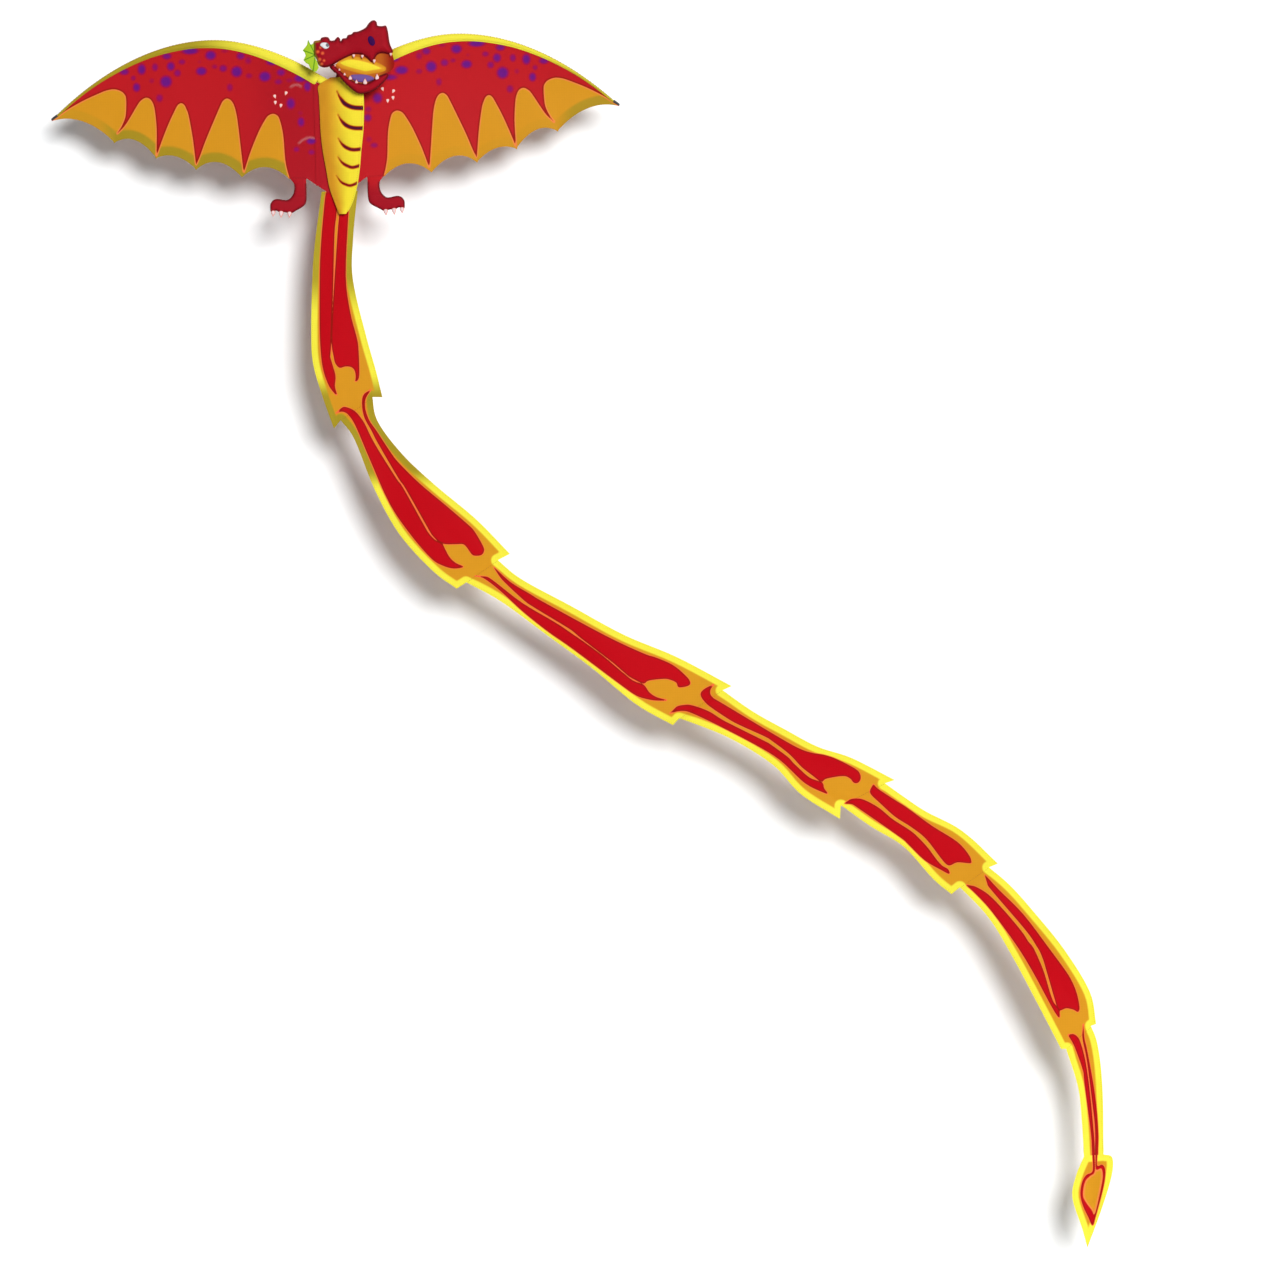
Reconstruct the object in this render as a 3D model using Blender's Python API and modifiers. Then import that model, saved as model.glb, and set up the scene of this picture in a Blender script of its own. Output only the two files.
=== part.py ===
"""Dragon kite: a framed fabric kite with scalloped wings, a belly keel, a puffed head and a jointed tail.

The frame's origin is on the flat back face of the centre hub. +X is the viewer's right when the dragon
faces the viewer, +Y points away from the viewer and +Z is up. Every length is in metres.
"""
import math

import bmesh
import bpy
from mathutils import Vector

# Driving dimensions
HALF_SPAN = 0.700
FOLD_X = 0.045  # the wings fold back along a line this far from the middle
SEAM_GAP = 0.0006  # room on each side of a sewn fold line
CLOTH = 0.001
LEG_CLOTH = 0.0016
SAIL_Y = -0.018  # middle of the sail's cloth at the body
WING_BOW = 0.048  # how far the wing tips sit behind the body
SAIL_CAMBER = 0.007

# Rods and fittings
SPINE_RADIUS = 0.003
SPINE_Y = -0.011
SPINE_TOP = 0.062
SPINE_BOTTOM = -0.188
SPAR_RADIUS = 0.002
SPREADER_RADIUS = 0.0025
SPREADER_LIFT = 0.0105  # rod's middle, behind the sail
SPREADER_START = 0.060
SPREADER_END = 0.570
SPREADER_END_HEIGHT = 0.064
HUB_HALF = (0.014, 0.018)
HUB_FRONT = -0.0166
HUB_ARM_END = 0.040
HUB_ARM_RADIUS = 0.005
HUB_SOCKET_START = 0.0085
BORE_GAP = 0.0003
CAP_WALL = 0.0015
CAP_LENGTH = 0.012  # how much of the spine an end cap covers
CAP_END = 0.003
CUP_WALL = 0.0022
CUP_LENGTH = 0.016
CUP_END = 0.004
CUP_ARM_RADIUS = 0.0026
CUP_ARM_REACH = 0.006
TIP_CAP_RADIUS = 0.0032
POCKET_HALF = 0.012
POCKETS = (("spine_top_pocket", 0.040, 0.062), ("spine_bottom_pocket", -0.190, -0.168))  # name, low, high

# Leading edge: two cubic arcs, (x, z) control points
LEADING_EDGE = (
    ((0.020, 0.083), (0.100, 0.140), (0.210, 0.186), (0.300, 0.186)),
    ((0.300, 0.186), (0.430, 0.187), (0.570, 0.125), (HALF_SPAN, 0.000)),
)
SLEEVE_WIDE = 0.025
SLEEVE_NARROW = 0.008
SLEEVE_DEPTH = 0.0095
SLEEVE_WALL = 0.0008
SLEEVE_END_X = 0.684

# Trailing edge: the points of the scallops from the leg to the tip, and the height of each arc
CUSPS = ((0.117, -0.160), (0.233, -0.153), (0.346, -0.132), (0.444, -0.101), (0.546, -0.060), (0.700, -0.001))
ARC_RISE = (0.027, 0.028, 0.018, 0.025, 0.026)
LEG_TOP = -0.160
CROTCH_X = 0.074
BODY_FOOT = (0.023, -0.196)
NECK_TOP = 0.062
NECK_HALF = 0.018
SHOULDER_TOP = 0.076
NOSE_HALF = 0.0012
NOSE_TOP = (0.074, 0.100)  # the nose patch's height at the middle and at the fold lines

# Belly keel: height, left seam x, ridge x, depth of the puff
KEEL_ROWS = (
    (0.086, -0.008, 0.036, 0.021),
    (0.067, -0.038, 0.066, 0.025),
    (0.040, -0.038, 0.071, 0.026),
    (0.000, -0.037, 0.071, 0.026),
    (-0.050, -0.036, 0.068, 0.025),
    (-0.095, -0.032, 0.062, 0.023),
    (-0.140, -0.025, 0.057, 0.019),
    (-0.185, -0.018, 0.049, 0.014),
    (-0.225, -0.005, 0.036, 0.008),
    (-0.250, 0.004, 0.021, 0.005),
)
KEEL_SEAM_Y = -0.0225
KEEL_REAR_X = 0.030
KEEL_REAR_Y = -0.0255
KEEL_REAR_START = (-0.0012, 0.0016)  # from the ridge to the rear panel's front edge, in x and y
KEEL_HINGE = (-0.038, 0.067)  # the keel swings about an upright line through the top of its left seam

# Head
HEAD_Y = -0.063
HEAD_HALF = 0.0135
JAW_HALF = 0.0115
LINING_HALF = 0.005
NECK_HINGE = (0.017, -0.046, 0.0555)
NECK = ((0.004, 0.088), (0.034, 0.088), (0.046, 0.112), (0.040, 0.128), (0.014, 0.118))
NECK_Y = -0.032
NECK_DEPTH = 0.0075
HEAD_TOP = (
    (-0.045, 0.150), (-0.044, 0.172), (-0.031, 0.175), (-0.019, 0.182), (-0.007, 0.175), (0.012, 0.177),
    (0.034, 0.179), (0.050, 0.190), (0.075, 0.197), (0.094, 0.215), (0.106, 0.218), (0.113, 0.207),
    (0.130, 0.205), (0.137, 0.180), (0.141, 0.158), (0.146, 0.144), (0.128, 0.139), (0.112, 0.137), (0.096, 0.121),
    (0.078, 0.134), (0.056, 0.139), (0.030, 0.132), (0.006, 0.121), (-0.012, 0.111), (-0.034, 0.114),
)
LOWER_JAW = (
    (-0.006, 0.108), (0.012, 0.091), (0.028, 0.069), (0.046, 0.051), (0.071, 0.042), (0.098, 0.050),
    (0.122, 0.068), (0.137, 0.088), (0.128, 0.092), (0.108, 0.082), (0.082, 0.067), (0.058, 0.069),
    (0.036, 0.082), (0.018, 0.099), (0.003, 0.111),
)
MOUTH = (
    (0.006, 0.112), (0.020, 0.101), (0.038, 0.086), (0.060, 0.073), (0.082, 0.071), (0.108, 0.086),
    (0.128, 0.097), (0.138, 0.096), (0.141, 0.112), (0.137, 0.134), (0.119, 0.135), (0.110, 0.130),
    (0.097, 0.117), (0.087, 0.121), (0.074, 0.131), (0.056, 0.135), (0.034, 0.129), (0.016, 0.121),
)
FRILL = (
    (-0.0455, 0.168), (-0.0535, 0.164), (-0.060, 0.178), (-0.0635, 0.160), (-0.073, 0.153), (-0.068, 0.141),
    (-0.0715, 0.127), (-0.062, 0.120), (-0.052, 0.106), (-0.044, 0.100), (-0.040, 0.108), (-0.0455, 0.124),
)
UPPER_TEETH = ((0.103, 0.1230, -0.009), (0.118, 0.1350, -0.008))
LOWER_TEETH = ((0.040, 0.0830, 0.010), (0.058, 0.0722, 0.009), (0.078, 0.0686, 0.012), (0.106, 0.0838, 0.011))
TOOTH_HALF = 0.0035
EYE = (-0.018, 0.162)
EYE_RADII = (0.010, 0.0013, 0.009)
NOSTRIL = (0.095, 0.169)
NOSTRIL_RADII = (0.0085, 0.0012, 0.0110)

# Legs, right side: the outline from the inner hip round the foot, and the claws
LEG = (
    (0.0755, -0.1606), (0.0745, -0.200), (0.0790, -0.222), (0.0880, -0.231), (0.1080, -0.241), (0.1140, -0.248),
    (0.1210, -0.257), (0.1270, -0.246), (0.1330, -0.246), (0.1400, -0.256), (0.1460, -0.243), (0.1520, -0.243),
    (0.1590, -0.254), (0.1650, -0.241), (0.1650, -0.222), (0.1560, -0.213), (0.1220, -0.216), (0.1075, -0.201),
    (0.1065, -0.177), (0.1150, -0.1606),
)

# Tail: for each section its left edge and its right edge going down, each ending at the barb's point,
# and the two ends of the sewn line below it
TAIL = (
    (
        ((-0.038, -0.1976), (-0.060, -0.327), (-0.068, -0.408), (-0.074, -0.530), (-0.072, -0.612),
         (-0.051, -0.694), (-0.023, -0.776)),
        ((0.051, -0.1976), (0.036, -0.309), (0.032, -0.411), (0.062, -0.554), (0.084, -0.637), (0.098, -0.702)),
        ((-0.006, -0.756), (0.075, -0.701)),
    ),
    (
        ((0.027, -0.804), (0.073, -0.927), (0.131, -1.039), (0.210, -1.131), (0.268, -1.177)),
        ((0.085, -0.761), (0.144, -0.844), (0.224, -0.923), (0.320, -1.007), (0.401, -1.095)),
        ((0.291, -1.163), (0.370, -1.110)),
    ),
    (
        ((0.377, -1.212), (0.485, -1.295), (0.593, -1.378), (0.700, -1.471), (0.790, -1.526)),
        ((0.428, -1.158), (0.547, -1.226), (0.675, -1.300), (0.804, -1.358), (0.937, -1.434)),
        ((0.805, -1.511), (0.913, -1.444)),
    ),
    (
        ((0.928, -1.561), (1.033, -1.629), (1.100, -1.704), (1.194, -1.767)),
        ((0.987, -1.497), (1.067, -1.544), (1.144, -1.587), (1.228, -1.617), (1.331, -1.675)),
        ((1.197, -1.735), (1.305, -1.683)),
    ),
    (
        ((1.270, -1.788), (1.349, -1.839), (1.419, -1.920), (1.463, -1.959)),
        ((1.350, -1.715), (1.407, -1.755), (1.492, -1.801), (1.579, -1.887)),
        ((1.484, -1.943), (1.556, -1.896)),
    ),
    (
        ((1.554, -2.020), (1.611, -2.119), (1.668, -2.234), (1.722, -2.346)),
        ((1.605, -1.938), (1.659, -2.000), (1.739, -2.104), (1.797, -2.207), (1.810, -2.287)),
        ((1.736, -2.346), (1.798, -2.291)),
    ),
    (
        ((1.762, -2.441), (1.769, -2.529), (1.771, -2.600)),
        ((1.811, -2.330), (1.820, -2.399), (1.822, -2.486), (1.820, -2.600)),
        ((1.772, -2.614), (1.819, -2.611)),
    ),
)
TAIL_TOP = ((-0.038, -0.197), (0.051, -0.197))
ARROW = (
    (1.750, -2.660), (1.740, -2.712), (1.762, -2.787), (1.774, -2.836), (1.809, -2.749), (1.838, -2.662),
    (1.841, -2.616),
)
TAIL_DROP = 0.0006  # the sections' seams keep this much room on each side

# Tow tab, behind the ridge on the keel's rear panel: its sewn edge in x, its middle in y and z
TOW = (0.0560, -0.0372, 0.020)
TAB_LENGTH = 0.0150
TAB_HALF = 0.0085
TAB_THICK = 0.0018
TAB_CORNER = 0.004
EYELET_FLANGE = 0.0048
EYELET_BARREL = 0.0031
EYELET_BORE = 0.0023
EYELET_FACES = (0.0012, 0.0020)  # a flange's inner and outer face, from the webbing's middle

COLOURS = {
    "wing_red": ((0.55, 0.012, 0.018), 0.55, 0.0),
    "edge_yellow": ((0.93, 0.83, 0.02), 0.55, 0.0),
    "belly_yellow": ((0.90, 0.60, 0.06), 0.55, 0.0),
    "tail_red": ((0.50, 0.004, 0.012), 0.55, 0.0),
    "head_red": ((0.42, 0.010, 0.018), 0.60, 0.0),
    "mouth_orange": ((0.80, 0.42, 0.06), 0.60, 0.0),
    "frill_green": ((0.27, 0.55, 0.04), 0.60, 0.0),
    "tooth_white": ((0.85, 0.83, 0.82), 0.50, 0.0),
    "eye_white": ((0.85, 0.85, 0.85), 0.25, 0.0),
    "nostril_purple": ((0.05, 0.005, 0.09), 0.60, 0.0),
    "rod_black": ((0.02, 0.02, 0.02), 0.40, 0.0),
    "vinyl_black": ((0.03, 0.03, 0.03), 0.50, 0.0),
    "tape_black": ((0.04, 0.04, 0.04), 0.80, 0.0),
    "eyelet_brass": ((0.75, 0.55, 0.25), 0.30, 1.0),
}


def clear_scene():
    for obj in list(bpy.data.objects):
        bpy.data.objects.remove(obj, do_unlink=True)


def make_materials():
    made = {}
    for name, (colour, roughness, metallic) in COLOURS.items():
        material = bpy.data.materials.new(name)
        material.use_nodes = True
        shader = material.node_tree.nodes["Principled BSDF"]
        shader.inputs["Base Color"].default_value = (*colour, 1.0)
        shader.inputs["Roughness"].default_value = roughness
        shader.inputs["Metallic"].default_value = metallic
        made[name] = material
    return made


def new_collection(name):
    collection = bpy.data.collections.new(name)
    bpy.context.scene.collection.children.link(collection)
    return collection


def finish(obj, name, material, pivot=None):
    """Names the piece, gives it its colour and hangs it on the empty of the body that it moves with."""
    obj.name = name
    obj.data.name = name
    obj.data.materials.clear()
    obj.data.materials.append(MATERIALS[material])
    for collection in list(obj.users_collection):
        collection.objects.unlink(obj)
    KITE.objects.link(obj)
    if pivot is not None:
        obj.parent = pivot
        obj.location = Vector(obj.location) - PIVOT_AT[pivot.name]
    return obj


def new_pivot(name, at, parent=None):
    """An empty on a joint's axis. No empty is turned, so a child's place is a plain difference."""
    empty = bpy.data.objects.new(name, None)
    empty.empty_display_size = 0.03
    KITE.objects.link(empty)
    PIVOT_AT[name] = Vector(at)
    empty.location = at
    if parent is not None:
        empty.parent = parent
        empty.location = Vector(at) - PIVOT_AT[parent.name]
    return empty


def bezier(points, t):
    a, b, c, d = (Vector(p) for p in points)
    s = 1.0 - t
    return a * s ** 3 + b * (3 * s * s * t) + c * (3 * s * t * t) + d * t ** 3


def leading_edge(steps=60):
    """The leading edge as closely spaced (x, z) points from the neck to the tip."""
    points = []
    for arc in LEADING_EDGE:
        points += [bezier(arc, i / steps) for i in range(steps + 1)]
    return points


def edge_height(x):
    """Height of the leading edge at x."""
    line = leading_edge()
    for a, b in zip(line, line[1:]):
        if a.x <= x <= b.x and b.x > a.x:
            return a.y + (b.y - a.y) * (x - a.x) / (b.x - a.x)
    return line[-1].y


def edge_slope(x):
    h = 0.002
    return (edge_height(x + h) - edge_height(x - h)) / (2 * h)


def hem_height(x):
    """Height of the scalloped trailing edge at x."""
    if x < CROTCH_X:
        t = (x - BODY_FOOT[0]) / (CROTCH_X - BODY_FOOT[0])
        return BODY_FOOT[1] + (LEG_TOP - BODY_FOOT[1]) * t
    if x <= CUSPS[0][0]:
        return LEG_TOP
    for (x0, z0), (x1, z1), rise in zip(CUSPS, CUSPS[1:], ARC_RISE):
        if x <= x1:
            t = (x - x0) / (x1 - x0)
            return z0 + (z1 - z0) * t + rise * 4 * t * (1 - t)
    return CUSPS[-1][1]


def bow(x):
    """How far behind the body the wing sits at x: the spars bend back towards the tips."""
    t = max(0.0, (x - FOLD_X) / (HALF_SPAN - FOLD_X))
    return WING_BOW * t ** 1.5


def sleeve_width(x):
    t = max(0.0, (x - 0.30) / (SLEEVE_END_X - 0.30))
    return SLEEVE_WIDE + (SLEEVE_NARROW - SLEEVE_WIDE) * t


def sail_depth(x, share):
    """Place of the sail in y at x and at a share, 0 to 1, of the way from its front edge to its hem."""
    belly = math.sin(math.pi * min(1.0, (x - FOLD_X) / (HALF_SPAN - FOLD_X)))
    return SAIL_Y + bow(x) + SAIL_CAMBER * belly * math.sin(math.pi * share)


def add_sheet(rows, thickness, side=1):
    """A loft through rows of points, made into cloth of the given thickness. side -1 mirrors it in x."""
    bm = bmesh.new()
    grid = [[bm.verts.new((side * p[0], p[1], p[2])) for p in row] for row in rows]
    for upper, lower in zip(grid, grid[1:]):
        for i in range(len(upper) - 1):
            bm.faces.new((upper[i], upper[i + 1], lower[i + 1], lower[i]))
    bmesh.ops.recalc_face_normals(bm, faces=bm.faces)
    mesh = bpy.data.meshes.new("sheet")
    bm.to_mesh(mesh)
    bm.free()
    obj = bpy.data.objects.new("sheet", mesh)
    KITE.objects.link(obj)
    solid = obj.modifiers.new("cloth", "SOLIDIFY")
    solid.thickness = thickness
    solid.offset = 0.0
    return obj


def add_outline(points, half, y, round_edge=0.0, smooth=False):
    """A flat outline in the x, z plane, as a filled 2D curve with the given half thickness."""
    curve = bpy.data.curves.new("outline", "CURVE")
    curve.dimensions = "2D"
    curve.fill_mode = "BOTH"
    curve.extrude = half - round_edge
    curve.bevel_depth = round_edge
    curve.bevel_resolution = 1
    curve.offset = -round_edge
    curve.resolution_u = 2
    spline = curve.splines.new("BEZIER" if smooth else "POLY")
    if smooth:
        spline.bezier_points.add(len(points) - 1)
        for knot, (x, z) in zip(spline.bezier_points, points):
            knot.co = (x, z, 0.0)
            knot.handle_left_type = "AUTO"
            knot.handle_right_type = "AUTO"
    else:
        spline.points.add(len(points) - 1)
        for knot, (x, z) in zip(spline.points, points):
            knot.co = (x, z, 0.0, 1.0)
    spline.use_cyclic_u = True
    obj = bpy.data.objects.new("outline", curve)
    obj.rotation_euler = (math.pi / 2, 0.0, 0.0)
    obj.location = (0.0, y, 0.0)
    KITE.objects.link(obj)
    return obj


def add_rod(points, radius):
    """A round rod through points, as a curve with filled caps."""
    curve = bpy.data.curves.new("rod", "CURVE")
    curve.dimensions = "3D"
    curve.bevel_depth = radius
    curve.bevel_resolution = 2
    curve.use_fill_caps = True
    spline = curve.splines.new("POLY")
    spline.points.add(len(points) - 1)
    for knot, p in zip(spline.points, points):
        knot.co = (*p, 1.0)
    obj = bpy.data.objects.new("rod", curve)
    KITE.objects.link(obj)
    return obj


def add_cylinder(radius, low, high, sides=20):
    """A cylinder primitive between two points."""
    low = Vector(low)
    high = Vector(high)
    length = (high - low).length
    bpy.ops.mesh.primitive_cylinder_add(vertices=sides, radius=radius, depth=length)
    obj = bpy.context.object
    obj.rotation_mode = "QUATERNION"
    obj.rotation_quaternion = Vector((0, 0, 1)).rotation_difference(high - low)
    obj.location = (low + high) / 2
    return obj


def add_ball(radii, at):
    bpy.ops.mesh.primitive_uv_sphere_add(segments=16, ring_count=10, radius=1.0, location=at)
    obj = bpy.context.object
    obj.scale = radii
    bpy.ops.object.transform_apply(location=False, rotation=False, scale=True)
    obj.data.shade_smooth()
    return obj


def boolean(obj, tool, operation):
    """Joins a tool to a piece or cuts it away. The tool stays as a hidden guide."""
    for collection in list(tool.users_collection):
        collection.objects.unlink(tool)
    CUTTERS.objects.link(tool)
    tool.hide_render = True
    tool.display_type = "WIRE"
    modifier = obj.modifiers.new(operation.lower(), "BOOLEAN")
    modifier.operation = operation
    modifier.object = tool
    modifier.solver = "EXACT"


def add_tube_sleeve(side):
    """The leading edge's pocket: a flattened tube of cloth, open at the neck and closed at the tip."""
    stations = [FOLD_X + 0.003 + (SLEEVE_END_X - FOLD_X - 0.003) * i / 18 for i in range(19)]
    sides = 12
    bm = bmesh.new()
    layers = []
    for inset in (0.0, SLEEVE_WALL):
        rings = []
        for number, x in enumerate(stations):
            if inset and number == len(stations) - 1:
                x -= 0.006
            width = sleeve_width(x)
            along = Vector((1.0, edge_slope(x))).normalized()
            across = Vector((-along.y, along.x))
            centre = Vector((x, edge_height(x))) - across * (width / 2)
            ring = []
            for k in range(sides):
                angle = 2 * math.pi * k / sides
                w = (width / 2 - inset) * math.cos(angle)
                d = (SLEEVE_DEPTH / 2 - inset) * math.sin(angle)
                spot = centre + across * w
                ring.append(bm.verts.new((side * spot.x, SAIL_Y + bow(x) + d, spot.y)))
            rings.append(ring)
        for a, b in zip(rings, rings[1:]):
            for k in range(sides):
                bm.faces.new((a[k], a[(k + 1) % sides], b[(k + 1) % sides], b[k]))
        bm.faces.new(rings[-1])
        layers.append(rings)
    outer, inner = layers[0][0], layers[1][0]
    for k in range(sides):
        bm.faces.new((outer[k], outer[(k + 1) % sides], inner[(k + 1) % sides], inner[k]))
    bmesh.ops.recalc_face_normals(bm, faces=bm.faces)
    mesh = bpy.data.meshes.new("sleeve")
    bm.to_mesh(mesh)
    bm.free()
    mesh.shade_smooth()
    mesh.set_sharp_from_angle(angle=math.radians(50))
    obj = bpy.data.objects.new("sleeve", mesh)
    KITE.objects.link(obj)
    return obj


def wing_sail_rows(side):
    """Rows from the front edge to the hem, at stations that fall on every point of the scallops."""
    stations = [FOLD_X + SEAM_GAP, 0.058, CROTCH_X, 0.095]
    for (x0, _), (x1, _) in zip(CUSPS, CUSPS[1:]):
        stations += [x0 + (x1 - x0) * i / 6 for i in range(6)]
    stations = [x for x in stations if x < SLEEVE_END_X - 0.012]
    rows = []
    for share in (0.0, 0.25, 0.5, 0.75, 1.0):
        row = []
        for x in stations:
            slope = edge_slope(x)
            top = edge_height(x) - (sleeve_width(x) + 0.0006) * math.hypot(1.0, slope)
            low = hem_height(x)
            row.append((x, sail_depth(x, share), top + (low - top) * share))
        rows.append(row)
    return rows


def build_wing(name, side, pivot):
    sail = add_sheet(wing_sail_rows(side), CLOTH, side)
    finish(sail, f"{name}_sail", "wing_red", pivot)
    finish(add_tube_sleeve(side), f"{name}_edge_sleeve", "edge_yellow", pivot)
    spar = []
    for i in range(18):
        x = FOLD_X + 0.008 + (SLEEVE_END_X - 0.012 - FOLD_X - 0.008) * i / 17
        slope = edge_slope(x)
        drop = sleeve_width(x) / 2 * math.hypot(1.0, slope)
        spar.append((side * x, SAIL_Y + bow(x), edge_height(x) - drop))
    finish(add_rod(spar, SPAR_RADIUS), f"{name}_edge_spar", "rod_black", pivot)
    spreader = [spreader_point(i / 10, side) for i in range(11)]
    finish(add_rod(spreader, SPREADER_RADIUS), f"{name}_spreader_rod", "rod_black", pivot)
    build_spreader_fitting(name, side, pivot)
    build_tip_patch(name, side, pivot)


def spreader_point(share, side):
    x = SPREADER_START + (SPREADER_END - SPREADER_START) * share
    height = SPREADER_END_HEIGHT * (x - FOLD_X) / (SPREADER_END - FOLD_X)
    return (side * x, SAIL_Y + bow(x) + SPREADER_LIFT + 0.003 * math.sin(math.pi * share), height)


def build_spreader_fitting(name, side, pivot):
    """A moulded cup that holds the spreader's outer end, with an arm that reaches the sleeve."""
    end = Vector(spreader_point(1.0, side))
    back = Vector(spreader_point(0.95, side))
    along = (end - back).normalized()
    cup = add_cylinder(SPREADER_RADIUS + CUP_WALL, end - along * CUP_LENGTH, end + along * CUP_END, 16)
    hole = add_cylinder(SPREADER_RADIUS + BORE_GAP, end - along * CUP_LENGTH * 2, end + along * BORE_GAP, 16)
    x = SPREADER_END + CUP_ARM_REACH
    slope = edge_slope(x)
    drop = sleeve_width(x) * math.hypot(1.0, slope)
    top = Vector((side * x, end.y, edge_height(x) - drop + CUP_ARM_REACH))
    arm = add_cylinder(CUP_ARM_RADIUS, end + along * (CUP_END / 2), top, 12)
    boolean(cup, arm, "UNION")
    boolean(cup, hole, "DIFFERENCE")
    finish(cup, f"{name}_spreader_cup", "vinyl_black", pivot)


def build_tip_patch(name, side, pivot):
    """The hard cap over the spar's end, at the wing's tip."""
    x = SLEEVE_END_X + 0.0005
    along = Vector((1.0, edge_slope(SLEEVE_END_X))).normalized()
    start = Vector((x, edge_height(SLEEVE_END_X) - sleeve_width(SLEEVE_END_X) * 0.5))
    end = Vector((HALF_SPAN - 0.001, 0.0025))
    y = SAIL_Y + bow(SLEEVE_END_X)
    low = (side * start.x, y, start.y)
    high = (side * end.x, y + (bow(end.x) - bow(start.x)), end.y)
    finish(add_cylinder(TIP_CAP_RADIUS, low, high, 14), f"{name}_tip_cap", "vinyl_black", pivot)


def build_spine():
    rod = add_cylinder(SPINE_RADIUS, (0, SPINE_Y, SPINE_BOTTOM), (0, SPINE_Y, SPINE_TOP))
    finish(rod, "spine_rod", "rod_black")
    for name, low, high in (
        ("spine_top_cap", SPINE_TOP - CAP_LENGTH, SPINE_TOP + CAP_END),
        ("spine_bottom_cap", SPINE_BOTTOM + CAP_LENGTH, SPINE_BOTTOM - CAP_END),
    ):
        outward = 1 if high > low else -1
        cap = add_cylinder(SPINE_RADIUS + CAP_WALL, (0, SPINE_Y, low), (0, SPINE_Y, high))
        depth = high - outward * (CAP_END - BORE_GAP)
        hole = add_cylinder(SPINE_RADIUS + BORE_GAP, (0, SPINE_Y, low - outward * 0.01), (0, SPINE_Y, depth))
        boolean(cap, hole, "DIFFERENCE")
        finish(cap, name, "vinyl_black")


def build_hub():
    """The moulded centre hub: a block with a flat back, a bore for the spine and a socket for each spreader."""
    bpy.ops.mesh.primitive_cube_add(size=1.0)
    hub = bpy.context.object
    hub.scale = (2 * HUB_HALF[0], -HUB_FRONT, 2 * HUB_HALF[1])
    hub.location = (0.0, HUB_FRONT / 2, 0.0)
    bpy.ops.object.transform_apply(location=False, rotation=False, scale=True)
    edge = hub.modifiers.new("edge", "BEVEL")
    edge.width = 0.0015
    edge.segments = 2
    y = SAIL_Y + SPREADER_LIFT
    arm = add_cylinder(HUB_ARM_RADIUS, (-HUB_ARM_END, y, 0), (HUB_ARM_END, y, 0), 20)
    boolean(hub, arm, "UNION")
    for side in (-1, 1):
        inner = (side * HUB_SOCKET_START, y, 0)
        socket = add_cylinder(SPREADER_RADIUS + BORE_GAP, inner, (side * (HUB_ARM_END + 0.01), y, 0), 16)
        boolean(hub, socket, "DIFFERENCE")
    bore = add_cylinder(SPINE_RADIUS + BORE_GAP, (0, SPINE_Y, -0.03), (0, SPINE_Y, 0.03))
    boolean(hub, bore, "DIFFERENCE")
    finish(hub, "centre_hub", "vinyl_black")


def build_body():
    """The cloth between the two fold lines, with the spine's pocket ends and the tail's loop."""
    x = FOLD_X - SEAM_GAP
    neck = ((-x, SHOULDER_TOP), (-NECK_HALF, NECK_TOP), (NECK_HALF, NECK_TOP), (x, SHOULDER_TOP))
    foot = ((x, hem_height(x)), (BODY_FOOT[0], BODY_FOOT[1]), (-BODY_FOOT[0], BODY_FOOT[1]), (-x, hem_height(x)))
    finish(add_outline(neck + foot, CLOTH / 2, SAIL_Y), "body_panel", "wing_red")
    under = [(px, pz + SEAM_GAP) for px, pz in neck]
    top = (*under, (x, NOSE_TOP[1]), (0.0, NOSE_TOP[0]), (-x, NOSE_TOP[1]))
    finish(add_outline(top, NOSE_HALF, SAIL_Y), "nose_patch", "edge_yellow")
    pocket_y = SPINE_Y + SPINE_RADIUS + CAP_WALL + BORE_GAP + CLOTH / 2
    for name, low, high in POCKETS:
        outline = ((-POCKET_HALF, low), (POCKET_HALF, low), (POCKET_HALF, high), (-POCKET_HALF, high))
        finish(add_outline(outline, CLOTH / 2, pocket_y), name, "tape_black")


def keel_point(row, share):
    """A point on the keel's visible panel: it rises fast from its seam, then runs nearly flat to the ridge."""
    z, left, ridge, depth = row
    return (left + (ridge - left) * share, KEEL_SEAM_Y - depth * math.sin(math.pi / 2 * share), z)


def build_keel(pivot):
    shares = [i / 7 for i in range(8)]
    left_rows = [[keel_point(row, s) for s in shares] for row in KEEL_ROWS]
    finish(add_sheet(left_rows, CLOTH), "belly_left_panel", "belly_yellow", pivot)
    right_rows = []
    for row in KEEL_ROWS[1:-1]:
        z, left, ridge, depth = row
        start = Vector((ridge + KEEL_REAR_START[0], KEEL_SEAM_Y - depth + KEEL_REAR_START[1]))
        rear_x = min(KEEL_REAR_X, left + (ridge - left) * 0.6)
        rear = Vector((rear_x, KEEL_REAR_Y - depth * 0.12))
        points = [start + (rear - start) * s for s in (0.0, 0.33, 0.66, 1.0)]
        right_rows.append([(p.x, p.y, z) for p in points])
    finish(add_sheet(right_rows, CLOTH), "belly_right_panel", "belly_yellow", pivot)
    finish(add_outline(NECK, NECK_DEPTH, NECK_Y, 0.003), "neck", "head_red", pivot)
    build_tow_point(pivot)


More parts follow.
